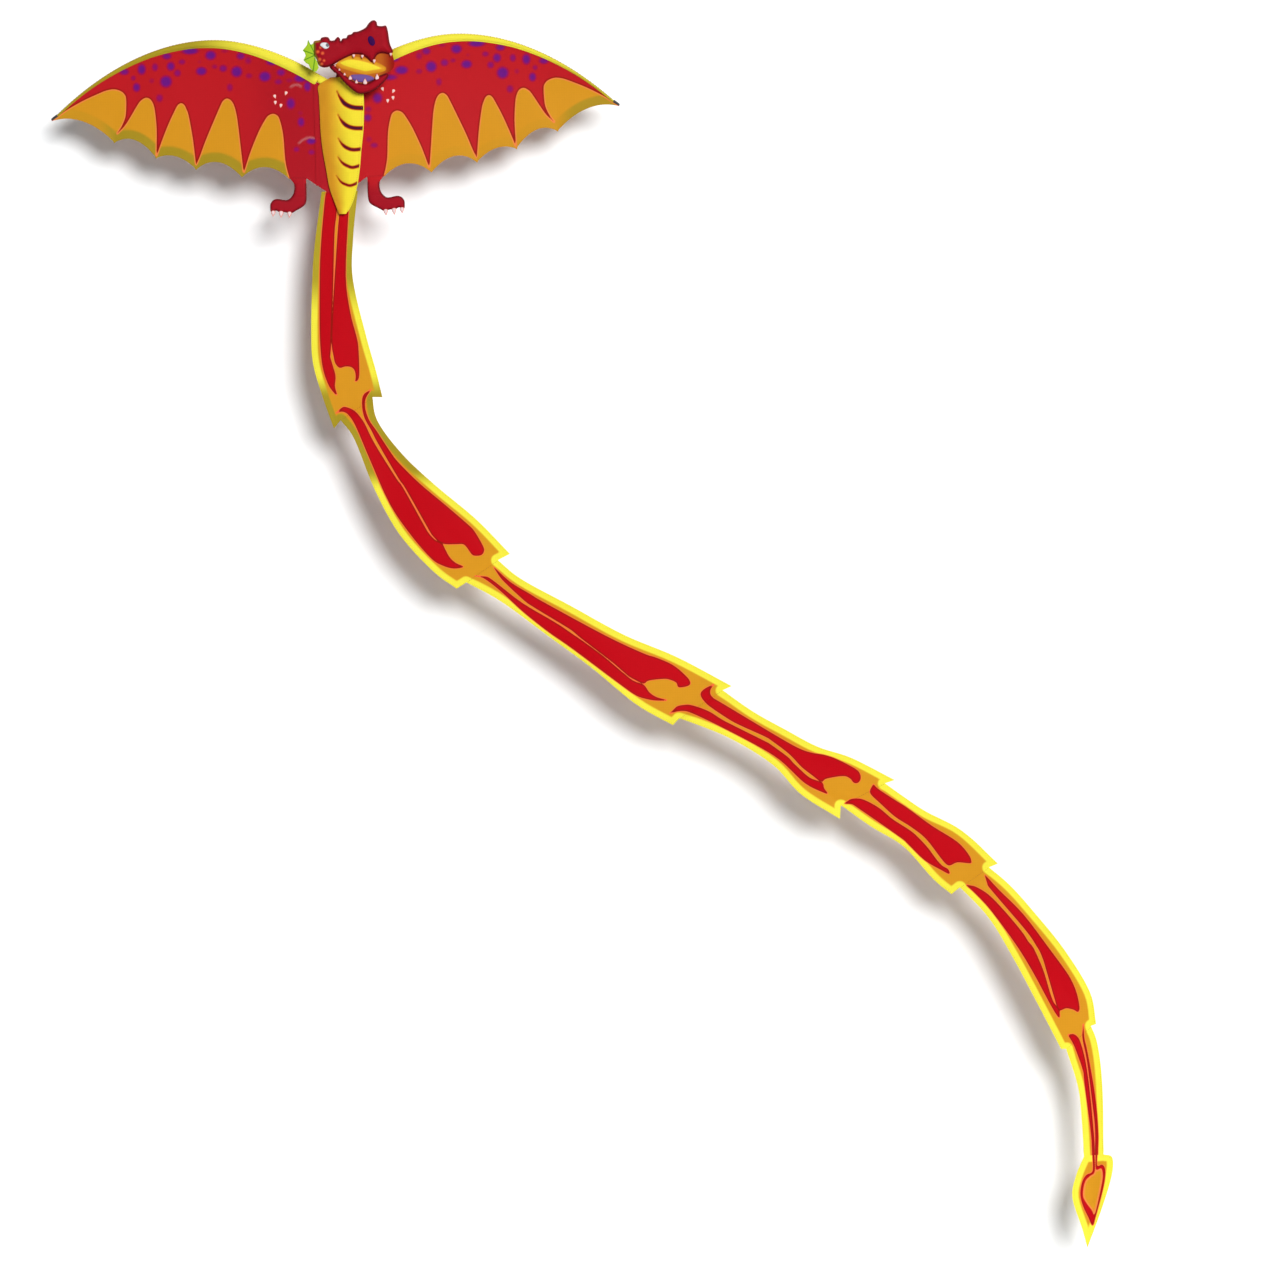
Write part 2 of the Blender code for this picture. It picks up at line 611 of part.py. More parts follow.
def build_tow_point(pivot):
    """A webbing tab on the belly's ridge with a brass eyelet for the flying line."""
    x, y, z = TOW
    tip = x + TAB_LENGTH
    low = z - TAB_HALF
    high = z + TAB_HALF
    tab = ((x, low), (tip - TAB_CORNER, low), (tip, low + TAB_CORNER),
           (tip, high - TAB_CORNER), (tip - TAB_CORNER, high), (x, high))
    webbing = add_outline(tab, TAB_THICK / 2, y)
    webbing = curve_to_mesh(webbing)
    centre = tip - TAB_HALF * 0.62
    hole = add_cylinder(EYELET_BARREL + BORE_GAP, (centre, y - 0.01, z), (centre, y + 0.01, z), 20)
    boolean(webbing, hole, "DIFFERENCE")
    finish(webbing, "tow_tab", "tape_black", pivot)
    finish(add_eyelet(centre, y, z), "tow_eyelet", "eyelet_brass", pivot)


def add_eyelet(x, y, z):
    """A turned eyelet: two flanges on a barrel through the webbing."""
    near, far = EYELET_FACES
    profile = ((EYELET_BORE, -far), (EYELET_BORE, far), (EYELET_FLANGE, far), (EYELET_FLANGE, near),
               (EYELET_BARREL, near), (EYELET_BARREL, -near), (EYELET_FLANGE, -near), (EYELET_FLANGE, -far))
    mesh = bpy.data.meshes.new("eyelet")
    bm = bmesh.new()
    points = [bm.verts.new((r, 0.0, h)) for r, h in profile]
    for a, b in zip(points, points[1:] + points[:1]):
        bm.edges.new((a, b))
    bm.to_mesh(mesh)
    bm.free()
    obj = bpy.data.objects.new("eyelet", mesh)
    KITE.objects.link(obj)
    turn = obj.modifiers.new("turn", "SCREW")
    turn.steps = 24
    turn.render_steps = 24
    turn.use_merge_vertices = True
    turn.merge_threshold = 0.0001
    obj.rotation_euler = (math.pi / 2, 0.0, 0.0)
    obj.location = (x, y, z)
    return obj


def curve_to_mesh(obj):
    """A mesh copy of a curve object with its caps welded, in its place."""
    graph = bpy.context.evaluated_depsgraph_get()
    mesh = bpy.data.meshes.new_from_object(obj.evaluated_get(graph))
    bm = bmesh.new()
    bm.from_mesh(mesh)
    bmesh.ops.remove_doubles(bm, verts=bm.verts, dist=0.00001)
    bm.to_mesh(mesh)
    bm.free()
    copy = bpy.data.objects.new("mesh", mesh)
    copy.matrix_world = obj.matrix_basis
    KITE.objects.link(copy)
    bpy.data.objects.remove(obj, do_unlink=True)
    return copy


def build_head(pivot):
    finish(add_outline(HEAD_TOP, HEAD_HALF, HEAD_Y, 0.006), "head_shell", "head_red", pivot)
    finish(add_outline(LOWER_JAW, JAW_HALF, HEAD_Y, 0.003), "lower_jaw", "head_red", pivot)
    finish(add_outline(MOUTH, LINING_HALF, HEAD_Y), "mouth_lining", "mouth_orange", pivot)
    finish(add_outline(FRILL, 0.0010, HEAD_Y), "cheek_frill", "frill_green", pivot)
    for name, teeth in (("upper_teeth", UPPER_TEETH), ("lower_teeth", LOWER_TEETH)):
        for number, (x, z, length) in enumerate(teeth, 1):
            tooth = ((x - TOOTH_HALF, z), (x + TOOTH_HALF, z), (x, z + length))
            y = HEAD_Y - LINING_HALF - 0.0012
            finish(add_outline(tooth, 0.0008, y), f"{name[:-5]}tooth_{number}", "tooth_white", pivot)
    for name, front in (("near", -1), ("far", 1)):
        y = HEAD_Y + front * (HEAD_HALF + 0.0016)
        finish(add_ball(EYE_RADII, (EYE[0], y, EYE[1])), f"eye_{name}", "eye_white", pivot)
        ball = add_ball(NOSTRIL_RADII, (NOSTRIL[0], y, NOSTRIL[1]))
        finish(ball, f"nostril_{name}", "nostril_purple", pivot)


def smooth_line(points, steps=3):
    """More points along a line through the given ones, on rounded arcs."""
    pts = [Vector(p) for p in points]
    padded = [pts[0] * 2 - pts[1]] + pts + [pts[-1] * 2 - pts[-2]]
    out = []
    for a, b, c, d in zip(padded, padded[1:], padded[2:], padded[3:]):
        for k in range(steps):
            t = k / steps
            out.append(
                0.5 * (2 * b + (c - a) * t + (2 * a - 5 * b + 4 * c - d) * t * t
                       + (3 * b - a - 3 * c + d) * t ** 3)
            )
    out.append(pts[-1])
    return out


def shifted(seam, amount):
    """A sewn line's two ends, moved down the tail by an amount."""
    left, right = (Vector(p) for p in seam)
    across = (right - left).normalized()
    down = Vector((across.y, -across.x))
    return left + down * amount, right + down * amount


def build_tail(root_pivot):
    seam = TAIL_TOP
    parent = root_pivot
    for number, (left, right, below) in enumerate(TAIL, 1):
        middle = (Vector(seam[0]) + Vector(seam[1])) / 2
        pivot = new_pivot(f"tail_{number}_pivot", (middle.x, SAIL_Y, middle.y), parent)
        top_left, top_right = shifted(seam, TAIL_DROP)
        low_left, low_right = shifted(below, -TAIL_DROP)
        if number > 1:
            left = (tuple(top_left),) + left
            right = (tuple(top_right),) + right
        down = smooth_line(left)
        up = smooth_line(right)[::-1]
        outline = down + [low_left, low_right] + up
        section = add_outline([tuple(p) for p in outline], CLOTH / 2, SAIL_Y)
        finish(section, f"tail_section_{number}", "tail_red", pivot)
        seam = below
        parent = pivot
    middle = (Vector(seam[0]) + Vector(seam[1])) / 2
    pivot = new_pivot("tail_tip_pivot", (middle.x, SAIL_Y, middle.y), parent)
    left, right = shifted(seam, TAIL_DROP)
    outline = (tuple(left),) + ARROW + (tuple(right),)
    finish(add_outline(outline, CLOTH / 2, SAIL_Y), "tail_tip", "edge_yellow", pivot)


def build_leg(name, side, wing_pivot):
    pivot = new_pivot(f"{name}_pivot", (side * 0.095, SAIL_Y, LEG_TOP), wing_pivot)
    outline = [(side * x, z) for x, z in LEG]
    finish(add_outline(outline, LEG_CLOTH / 2, SAIL_Y), name, "wing_red", pivot)


clear_scene()
MATERIALS = make_materials()
KITE = new_collection("dragon_kite")
CUTTERS = new_collection("cutters")
PIVOT_AT = {}

build_spine()
build_hub()
build_body()
for wing_name, wing_side in (("left_wing", -1), ("right_wing", 1)):
    wing_pivot = new_pivot(f"{wing_name}_pivot", (wing_side * FOLD_X, SAIL_Y, 0.0))
    build_wing(wing_name, wing_side, wing_pivot)
    build_leg(wing_name.replace("wing", "leg"), wing_side, wing_pivot)
keel_pivot = new_pivot("keel_pivot", (KEEL_HINGE[0], KEEL_SEAM_Y, KEEL_HINGE[1]))
build_keel(keel_pivot)
build_head(new_pivot("head_pivot", NECK_HINGE, keel_pivot))
build_tail(None)
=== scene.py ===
"""Dragon kite: its sails, belly, head, tail, rods and fittings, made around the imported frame.

Lengths are in metres, or in millimetres inside mm() and dots(), in the frame's own axes: +X is the
viewer's right, +Y points away from the viewer and +Z is up. The origin is on the back of the centre hub.
"""
import math

import bmesh
import bpy
import numpy as np
from bpy.props import FloatProperty, FloatVectorProperty, PointerProperty
from bpy.types import Operator, Panel, PropertyGroup
from mathutils import Matrix, Vector
from mathutils.geometry import delaunay_2d_cdt


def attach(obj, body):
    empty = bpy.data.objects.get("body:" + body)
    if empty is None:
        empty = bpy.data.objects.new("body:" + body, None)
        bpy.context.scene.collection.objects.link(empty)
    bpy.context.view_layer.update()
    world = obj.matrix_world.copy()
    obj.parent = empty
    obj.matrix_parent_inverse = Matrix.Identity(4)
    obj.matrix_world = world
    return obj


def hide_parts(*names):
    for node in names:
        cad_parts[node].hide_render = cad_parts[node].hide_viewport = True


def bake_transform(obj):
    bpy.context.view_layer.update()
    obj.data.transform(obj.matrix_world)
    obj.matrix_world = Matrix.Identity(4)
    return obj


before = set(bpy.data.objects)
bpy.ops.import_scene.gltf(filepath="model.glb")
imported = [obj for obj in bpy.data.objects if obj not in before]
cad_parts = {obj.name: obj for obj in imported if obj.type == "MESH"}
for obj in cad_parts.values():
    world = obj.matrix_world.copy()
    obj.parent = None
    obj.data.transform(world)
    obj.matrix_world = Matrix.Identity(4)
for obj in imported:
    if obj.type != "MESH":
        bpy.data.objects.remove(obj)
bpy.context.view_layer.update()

bl_info = {
    "name": "Dragon kite",
    "version": (1, 0, 0),
    "blender": (4, 5, 0),
    "location": "3D Viewport > Sidebar > Kite",
    "description": "Makes a framed cloth dragon kite with a belly keel, a puffed head and a sewn tail",
    "category": "Object",
}


def mm(table):
    """A number or a table of numbers, from millimetres to metres."""
    return tuple(mm(row) for row in table) if isinstance(table, tuple) else table / 1000


def dots(table):
    """Dyed spots: x, z, half width and half height in millimetres, and strength."""
    return tuple((*mm(row[:4]), row[4]) for row in table)


SIDES = (("left", -1), ("right", 1))

# The frame's driving sizes
HALF_SPAN = 0.700
FOLD_X = 0.045
SEAM_GAP = 0.0006
SAIL_Y = -0.018
WING_BOW = 0.048
SAIL_CAMBER = 0.007
SPINE_Y = -0.011
SPINE_TOP = 0.062
SPINE_BOTTOM = -0.188
SPINE_RADIUS = 0.003
SPREADER_LIFT = 0.0105
SPREADER_START = 0.060
SPREADER_END = 0.570
SPREADER_END_HEIGHT = 0.064
SPREADER_RADIUS = 0.0025

LEADING_EDGE = (
    ((0.020, 0.083), (0.100, 0.140), (0.210, 0.186), (0.300, 0.186)),
    ((0.300, 0.186), (0.430, 0.187), (0.570, 0.125), (HALF_SPAN, 0.000)),
)
SLEEVE_WIDTHS = mm((
    (0, 25.4), (100, 24.5), (160, 22.2), (250, 18.5), (300, 16.8), (350, 14.3), (400, 12.8), (450, 10.3), (500, 9.2),
    (550, 7.7), (600, 5.8), (640, 5), (684, 4.8), (700, 1.5),
))  # x and width
SLEEVE_DEPTH = 0.0095
SLEEVE_END_X = 0.684
WING_END_X = 0.6985

CUSPS = mm(((117, -160), (233, -153), (346, -132), (444, -101), (546, -60), (700, -1)))
ARC_RISE = mm((27, 28, 18, 25, 26))
LEG_TOP = -0.160
CROTCH_X = 0.074
BODY_FOOT = (0.023, -0.196)
NECK_TOP = 0.062
NECK_HALF = 0.018
SHOULDER_TOP = 0.076

# Membranes between the wing's fingers: from the hem up one side, over the top and down the other
MEMBRANES = mm((
    ((114, -172), (116.5, -155), (121, -138), (125.5, -110), (129, -50), (137, -12), (144, -2), (153, 1), (164, -3),
     (173, -14), (189, -42), (210, -90), (225.5, -134), (228, -141), (240, -149), (245, -175)),
    ((212, -175), (216, -149), (227, -141), (229, -134), (230.5, -118), (238.5, -30), (242, 0), (247, 22), (254, 36),
     (264, 42), (273, 38), (282, 24), (318, -55), (335.5, -99), (342, -113), (344.8, -118), (356, -126), (361, -150)),
    ((329, -150), (333, -126), (344.2, -118), (345.8, -112), (347, -99), (352, -50), (360, 1), (365, 18), (371, 30),
     (379, 34), (387, 29), (394, 17), (410, -15), (427, -55), (440, -89), (442.5, -94), (453, -100), (458, -128)),
    ((428, -128), (431, -102), (441.5, -94), (441.8, -86), (440, -30), (443, 15), (447, 34), (454, 46), (464, 50),
     (475, 45), (485, 34), (515, -13), (534, -33), (537, -36), (548, -40), (556, -80)),
    ((530, -85), (527, -46), (537, -36), (534.5, -31), (528, -22), (520, -6), (515, 12), (513.5, 48), (518, 61),
     (528, 69), (543, 73), (560, 71), (580, 64), (620, 47), (660, 26), (680, 12), (695, 1), (710, -30)),
))

# Dyed spots on the wings. The outer ones are on both
OUTER_SPOTS = dots((
    (210, 134, 9, 10, 0.5), (228, 145, 11, 9, 0.75), (239, 107, 13, 13, 1.0), (209, 96, 9, 7, 0.5),
    (257, 69, 8, 10, 0.55), (272, 116, 10, 9, 0.7), (267, 159, 10, 6, 0.4), (302, 149, 13, 11, 0.95),
    (293, 121, 8, 6, 0.5), (326, 111, 13, 10, 0.95), (330, 134, 6, 5, 0.3), (352, 161, 20, 8, 1.0),
    (373, 135, 9, 7, 0.6), (385, 108, 9, 9, 0.65), (401, 125, 10, 11, 0.85), (414, 88, 14, 14, 1.0),
    (410, 150, 12, 8, 0.8), (440, 124, 8, 10, 0.65), (449, 91, 7, 7, 0.4), (431, 48, 9, 10, 0.6),
    (473, 120, 10, 13, 0.9), (494, 99, 7, 7, 0.55), (487, 76, 9, 11, 0.85), (516, 115, 12, 8, 0.8),
))
INNER_SPOTS = {
    1: dots((
        (166, 100, 16, 10, 1.0), (150, 130, 12, 9, 0.9), (138, 83, 18, 7, 0.8), (105, 33, 12, 13, 0.85),
        (82, 6, 9, 8, 0.5), (80, -15, 10, 10, 0.75), (82, -68, 8, 8, 0.4), (94, -83, 10, 7, 0.6),
    )),
    -1: dots((
        (170, 93, 14, 12, 1.0), (150, 128, 16, 8, 0.9), (130, 102, 11, 9, 0.75), (137, 79, 10, 7, 0.6),
        (110, 82, 9, 6, 0.45), (83, 86, 16, 10, 0.9), (66, 66, 9, 13, 0.85), (108, 25, 11, 14, 0.85),
        (84, -21, 9, 12, 0.8), (85, 1, 7, 6, 0.35), (60, -69, 12, 8, 0.9), (97, -88, 8, 7, 0.6), (60, -96, 9, 7, 0.6),
    )),
}
# Light printed lines over the left hand and thigh, in x from the middle and z
GLINTS = mm((
    ((107, 66), (98, 70), (88, 70), (82, 66)),
    ((90, -73), (80, -65), (66, -60), (51, -62)),
))
HAND_CLAWS = {  # x, z and how far each claw leans, in degrees
    1: ((0.117, 0.053, 20), (0.146, 0.047, -25), (0.143, 0.031, 5), (0.130, 0.024, 0)),
    -1: ((0.118, 0.049, -20), (0.148, 0.042, 20), (0.146, 0.027, 0), (0.132, 0.019, -10)),
}

# Belly: height, left seam x, ridge x and depth of the puff, going down
KEEL_ROWS = mm((
    (86, -8, 36, 21), (67, -38, 66, 25), (40, -38, 71, 26), (0, -37, 71, 26), (-50, -36, 68, 25), (-95, -32, 62, 23),
    (-140, -25, 57, 19), (-185, -18, 49, 14), (-225, -5, 36, 8), (-250, 4, 21, 5),
))
KEEL_SEAM_Y = -0.0225
KEEL_REAR_X = 0.030
KEEL_REAR_Y = -0.0255
KEEL_BLEND = ("frame", "keel", (-0.038, KEEL_SEAM_Y, 0.067), (0.0215, KEEL_SEAM_Y, 0.0749))
RUNGS = mm((
    ((6, 52), (13, 35), (25, 20), (45, 10), (74, 7)),
    ((7, -6), (16, -23), (30, -35), (48, -41), (74, -42)),
    ((6, -64), (16, -80), (30, -90), (45, -94), (70, -92)),
    ((4, -110), (15, -125), (30, -134), (42, -137), (62, -132)),
    ((-1, -155), (10, -171), (22, -178), (35, -181), (54, -174)),
))

# Head
HEAD_Y = -0.063
NECK = mm(((4, 86), (34, 86), (46, 112), (40, 128), (14, 118)))
NECK_Y = -0.032
NECK_DEPTH = 0.0075
SKULL = mm((
    (-46, 140), (-46.5, 158), (-46, 172), (-38, 174.5), (-30, 176), (-27, 181), (-18, 183), (-10, 181), (-6, 174),
    (4, 174), (8, 178), (13, 182), (17, 179), (20, 171), (25, 178), (34, 179), (38, 186), (47, 188), (52, 193),
    (62, 194), (75, 199), (83, 204), (88, 211), (96, 219), (104, 220.5), (109, 215), (110, 208), (117, 206),
    (125, 206), (132, 206), (136, 190), (138, 172), (141, 158), (147, 143), (138, 137), (128, 139), (118, 140),
    (108, 136), (101, 125), (95, 118), (89, 123), (78, 133), (64, 139), (48, 138), (30, 131), (10, 121), (-6, 112),
    (-22, 109), (-34, 114), (-39, 125),
))
LOWER_JAW = mm((
    (-9, 110), (0, 98), (10, 90), (30, 66), (50, 48), (60, 42.5), (74, 42), (88, 45), (103, 52), (120, 66), (135, 83),
    (130, 90), (110, 83), (96, 74), (80, 67), (60, 69), (40, 79), (10, 106), (0, 116),
))
MOUTH = mm((
    (2, 112), (20, 95), (38, 80), (60, 69), (82, 68), (108, 83), (128, 91), (143, 98), (150, 112), (146, 135),
    (138, 142), (119, 142), (106, 139), (95, 122), (83, 133), (66, 141), (44, 139), (22, 130),
))
PALATE = mm((
    (10, 119), (22, 126), (35, 130), (50, 130), (78, 124), (105, 114), (120, 106), (125, 101), (112, 97), (95, 95),
    (80, 93), (62, 97), (22, 110),
))
TONGUE = mm(((37, 84), (46, 89), (60, 89.5), (78, 88.5), (93, 84), (100, 78), (90, 72), (74, 69), (58, 71), (45, 77)))
FRILL = mm((
    (-45.5, 171), (-51, 166), (-54.5, 166), (-60, 178), (-63.5, 164), (-67, 160), (-74, 152), (-69, 146), (-67, 139),
    (-72.5, 128), (-67, 121), (-60, 117), (-57, 108), (-47, 98), (-41, 100), (-36, 108), (-38, 120), (-44, 134),
))
FRILL_ROOT = (-0.043, 0.140)
FRILL_TIPS = mm(((-60, 176), (-73, 152), (-71, 128), (-50, 101)))
PUPIL = (-0.0125, 0.1625, 0.0042, 0.0048, 1.0)  # as the dyed spots
EYE = mm(((-31, 161.5), (-28, 168.5), (-19, 170), (-10.5, 167), (-7.5, 159), (-12.5, 153.5), (-21, 153.5)))
NOSTRIL = (0.0955, 0.1700)
NOSTRIL_HALF = (0.0074, 0.0120)
NOSTRIL_LEAN = 22  # degrees
# Teeth: x, z at the root, half width and length, negative where a tooth points down
UPPER_TEETH = mm(((51, 138, 4, -8.5), (72, 136, 4, -8.5), (101, 124, 4, -9.5), (142, 139, 3.5, -8.5)))
LOWER_TEETH = mm((
    (41, 77.5, 4.5, 10.5), (56, 68, 4, 9), (77, 66, 5.2, 13.5), (107, 76.5, 5.2, 14), (27.5, 88, 3.4, 7.5),
    (15, 100, 3, 6.5), (4.5, 110.5, 2.6, 5),
))
CHEEK_SPOTS = dots((
    (-37, 147, 4, 3.5, 1.0), (-30, 157, 3, 3, 0.7), (-25, 143, 3.5, 3.5, 0.9), (-33, 128, 4, 4, 1.0),
    (-22, 125, 3, 3, 0.8), (-28, 117, 3.5, 3, 0.9),
))

LEG = mm((
    (76.5, -156.2), (75.5, -164), (74.8, -180), (74.8, -200), (76.5, -217), (82, -227), (101, -238), (115, -245),
    (130, -241.5), (139, -243), (147, -239), (152, -237), (159, -241.5), (164.5, -239), (165.5, -228), (164, -219),
    (157, -211), (146, -208.5), (125, -212), (115, -207), (107.5, -197), (104.5, -183), (106, -171), (112, -163),
    (114, -156.2),
))
TOE_CLAWS = mm(((118, -242, 5, 13.5), (138.5, -240, 5.2, 15), (158, -238.5, 5, 13)))

# Tail: for each section its left edge and right edge going down, each ending at the barb's point,
# and the two ends of the sewn line below it
TAIL_TOP = mm(((-38, -197), (51, -197)))
TAIL = mm((
    (
        ((-38, -197.6), (-60, -327), (-68, -408), (-74, -530), (-72, -612), (-51, -694), (-23, -776)),
        ((51, -197.6), (36, -309), (32, -411), (62, -554), (84, -637), (98, -702)),
        ((-6, -756), (75, -701)),
    ),
    (
        ((27, -804), (73, -927), (131, -1039), (210, -1131), (268, -1177)),
        ((85, -761), (144, -844), (224, -923), (320, -1007), (401, -1095)),
        ((291, -1163), (370, -1110)),
    ),
    (
        ((377, -1212), (485, -1295), (593, -1378), (700, -1471), (790, -1526)),
        ((428, -1158), (547, -1226), (675, -1300), (804, -1358), (937, -1434)),
        ((805, -1511), (913, -1444)),
    ),
    (
        ((928, -1561), (1033, -1629), (1100, -1704), (1194, -1767)),
        ((987, -1497), (1067, -1544), (1144, -1587), (1228, -1617), (1331, -1675)),
        ((1197, -1735), (1305, -1683)),
    ),
    (
        ((1270, -1788), (1349, -1839), (1419, -1920), (1463, -1959)),
        ((1350, -1715), (1407, -1755), (1492, -1801), (1579, -1887)),
        ((1484, -1943), (1556, -1896)),
    ),
    (
        ((1554, -2020), (1611, -2119), (1668, -2234), (1722, -2346)),
        ((1605, -1938), (1659, -2000), (1739, -2104), (1797, -2207), (1810, -2287)),
        ((1736, -2346), (1798, -2291)),
    ),
    (
        ((1762, -2441), (1769, -2529), (1771, -2600)),
        ((1811, -2330), (1820, -2399), (1822, -2486), (1820, -2600)),
        ((1772, -2614), (1819, -2611)),
    ),
))
ARROW = mm(((1750, -2660), (1740, -2712), (1762, -2787), (1774, -2836), (1809, -2749), (1838, -2662), (1841, -2616)))

# The red lobes on the tail, two closed outlines for each section
LOBES = mm((
    ((-24, -190), (-34, -240), (-47, -360), (-52.5, -500), (-52.5, -570), (-48, -625), (-36, -665), (-23, -686),
     (-14, -693), (-19, -672), (-17, -645), (-28, -605), (-28.5, -585), (-20, -450), (-10.5, -300), (-4, -250),
     (0, -190)),
    ((7, -190), (4, -250), (-2, -300), (-15.5, -450), (-23.5, -550), (-19, -605), (-12, -622), (-4, -627), (8, -624),
     (22, -625.5), (31, -634), (33.5, -650), (32, -661), (40, -655), (42.5, -630), (41, -575), (37, -550), (23, -490),
     (14.5, -400), (26, -250), (32, -190)),
    ((-18, -738.5), (-6, -735), (4, -736.5), (14, -744), (31, -772), (64, -855), (110, -965), (160, -1043),
     (208, -1101), (235, -1119), (262, -1127), (286, -1123.5), (268, -1114), (252, -1098), (236, -1068), (218, -1057),
     (203, -1040), (188, -1013), (143, -927), (126, -902), (76, -816), (50, -762), (30, -735), (6, -723.5),
     (-6, -728)),
    ((70, -682), (57, -703), (54.5, -722), (58.5, -743), (67, -763), (82, -785), (115, -838), (135, -865),
     (185, -917), (245, -970), (300, -1020), (316, -1038), (336, -1075), (337, -1088), (330, -1096), (316, -1097),
     (307, -1093), (290, -1069.5), (270, -1067.5), (245, -1066.5), (226, -1057), (211, -1041), (195, -1012),
     (149, -925), (133, -901), (85, -815), (70, -784), (51, -745), (48, -707), (55, -691)),
    ((313, -1147), (335, -1153), (375, -1185), (430, -1238), (490, -1288), (550, -1332), (660, -1419), (700, -1449),
     (725, -1459), (750, -1464), (777, -1464), (752, -1456), (734, -1443), (723, -1427), (700, -1417), (680, -1403),
     (620, -1350), (540, -1289), (500, -1262), (430, -1218), (360, -1161), (340, -1149)),
    ((360, -1126), (400, -1164), (450, -1196), (480, -1215), (630, -1301), (720, -1346), (750, -1357), (780, -1370),
     (800, -1382), (820, -1400), (834, -1417), (832, -1429), (807, -1433), (802, -1422), (790, -1415), (772, -1411),
     (735, -1414), (722, -1420), (703, -1412), (683, -1399), (643, -1363), (572, -1306), (540, -1280), (460, -1229),
     (430, -1207), (385, -1163), (370, -1143)),
    ((783, -1497), (800, -1492.5), (820, -1492), (840, -1499), (900, -1529), (990, -1578), (1050, -1617),
     (1100, -1667), (1120, -1683), (1140, -1694), (1165, -1704), (1157, -1690), (1154, -1678), (1138, -1671),
     (1118, -1660), (1085, -1628), (1070, -1611), (1030, -1580), (1010, -1568), (920, -1521), (880, -1495),
     (840, -1479), (820, -1477), (800, -1481)),
    ((893, -1428), (885, -1440), (884, -1452), (892, -1463), (910, -1474), (1050, -1562), (1100, -1591),
     (1130, -1602), (1160, -1608), (1190, -1619), (1235, -1644), (1246, -1657), (1247, -1670), (1240, -1679),
     (1230, -1678), (1222, -1668), (1205, -1661), (1165, -1666), (1152, -1672), (1137, -1663), (1105, -1637),
     (1075, -1604), (1035, -1572), (1015, -1559), (955, -1530), (925, -1513), (885, -1485), (870, -1471),
     (861, -1457), (862, -1446), (875, -1436)),
    ((1206, -1729), (1225, -1732), (1240, -1742), (1340, -1815), (1360, -1833), (1400, -1874), (1440, -1899),
     (1459, -1909), (1457, -1898), (1443, -1889), (1429, -1873), (1408, -1843), (1383, -1815), (1363, -1798),
     (1323, -1771), (1290, -1742), (1255, -1722), (1235, -1718), (1220, -1720)),
    ((1278, -1684), (1290, -1696), (1330, -1724), (1360, -1744), (1420, -1790), (1480, -1830), (1508, -1863),
     (1514, -1880), (1510, -1884), (1480, -1881), (1462, -1888), (1452, -1884), (1440, -1870), (1405, -1822),
     (1370, -1792), (1330, -1765), (1297, -1734), (1272, -1709), (1271, -1696)),
    ((1500, -1937), (1520, -1957), (1560, -2002), (1620, -2088), (1660, -2158), (1700, -2238), (1719, -2269),
     (1719, -2250), (1708, -2235), (1699, -2210), (1683, -2150), (1663, -2099), (1649, -2079), (1634, -2055),
     (1594, -2005), (1555, -1963), (1520, -1941)),
    ((1546, -1914), (1580, -1951), (1640, -2014), (1700, -2098), (1740, -2156), (1755, -2184), (1765, -2213),
     (1770, -2245), (1766, -2256), (1755, -2250), (1738, -2246), (1722, -2249), (1713, -2232), (1691, -2148),
     (1682, -2118), (1671, -2094), (1641, -2048), (1563, -1953), (1552, -1936)),
    ((1740, -2311), (1755, -2340), (1775, -2400), (1778, -2430), (1790, -2550), (1792, -2600), (1792, -2650),
     (1797, -2650), (1797, -2600), (1796, -2550), (1790, -2460), (1781, -2380), (1770, -2332), (1762, -2316),
     (1752, -2310)),
    ((1778, -2286), (1780, -2320), (1787, -2355), (1803, -2460), (1808, -2550), (1806, -2600), (1803, -2650),
     (1800, -2650), (1801, -2600), (1802, -2550), (1799, -2500), (1787, -2380), (1775, -2315)),
))
ARROW_LOBE = mm((
    (1793.5, -2600), (1793, -2640), (1789, -2652), (1777, -2657), (1767, -2671), (1761, -2695), (1761.5, -2715),
    (1768, -2738), (1778, -2760), (1788, -2781), (1796, -2760), (1815, -2695), (1822, -2660), (1821.5, -2641),
    (1815, -2633), (1806, -2636), (1802.5, -2630), (1803.5, -2600),
))
ARROW_CORE = mm((
    (1797, -2600), (1797, -2648), (1785, -2660), (1774, -2671), (1768, -2690), (1767, -2711), (1775, -2727),
    (1787, -2744), (1793, -2755), (1801, -2733), (1814.5, -2675), (1816.5, -2655), (1813, -2642), (1803, -2645),
    (1800, -2640), (1800, -2600),
))

# Tow tab: its sewn edge in x, its middle in y and z
TOW = (0.0560, -0.0372, 0.020)
TAB_LENGTH = 0.0150
TAB_HALF = 0.0085
TAB_THICK = 0.0018
EYELET_X = TOW[0] + TAB_LENGTH - TAB_HALF * 0.62
EYELET_BORE = 0.0023
EYELET_BARREL = 0.0031
EYELET_FLANGE = 0.0048

# How the cloth behaves while it hangs
SAILCLOTH = {"quality": 6, "mass": 0.15, "tension_stiffness": 20.0, "compression_stiffness": 20.0,
             "shear_stiffness": 8.0, "bending_stiffness": 0.3}

# How the view is set: the picture's middle, its width at the sail and how far it leans
VIEW_MIDDLE = (0.7148, -1.3149)
VIEW_WIDTH = 3.1437
VIEW_LEAN = math.radians(-1.5075)
SENSOR = 0.036


def paint(code):
    """The linear colour of a shade given as six hexadecimal figures."""
    shares = [int(code[i:i + 2], 16) / 255 for i in (0, 2, 4)]
    return tuple(s / 12.92 if s <= 0.04045 else ((s + 0.055) / 1.055) ** 2.4 for s in shares)


def length_setting(label, default, about):
    return FloatProperty(name=label, description=about, default=default, min=0.0, unit="LENGTH", precision=4)


def share_setting(label, default, about):
    return FloatProperty(name=label, description=about, default=default, min=0.0, max=2.0, subtype="FACTOR")


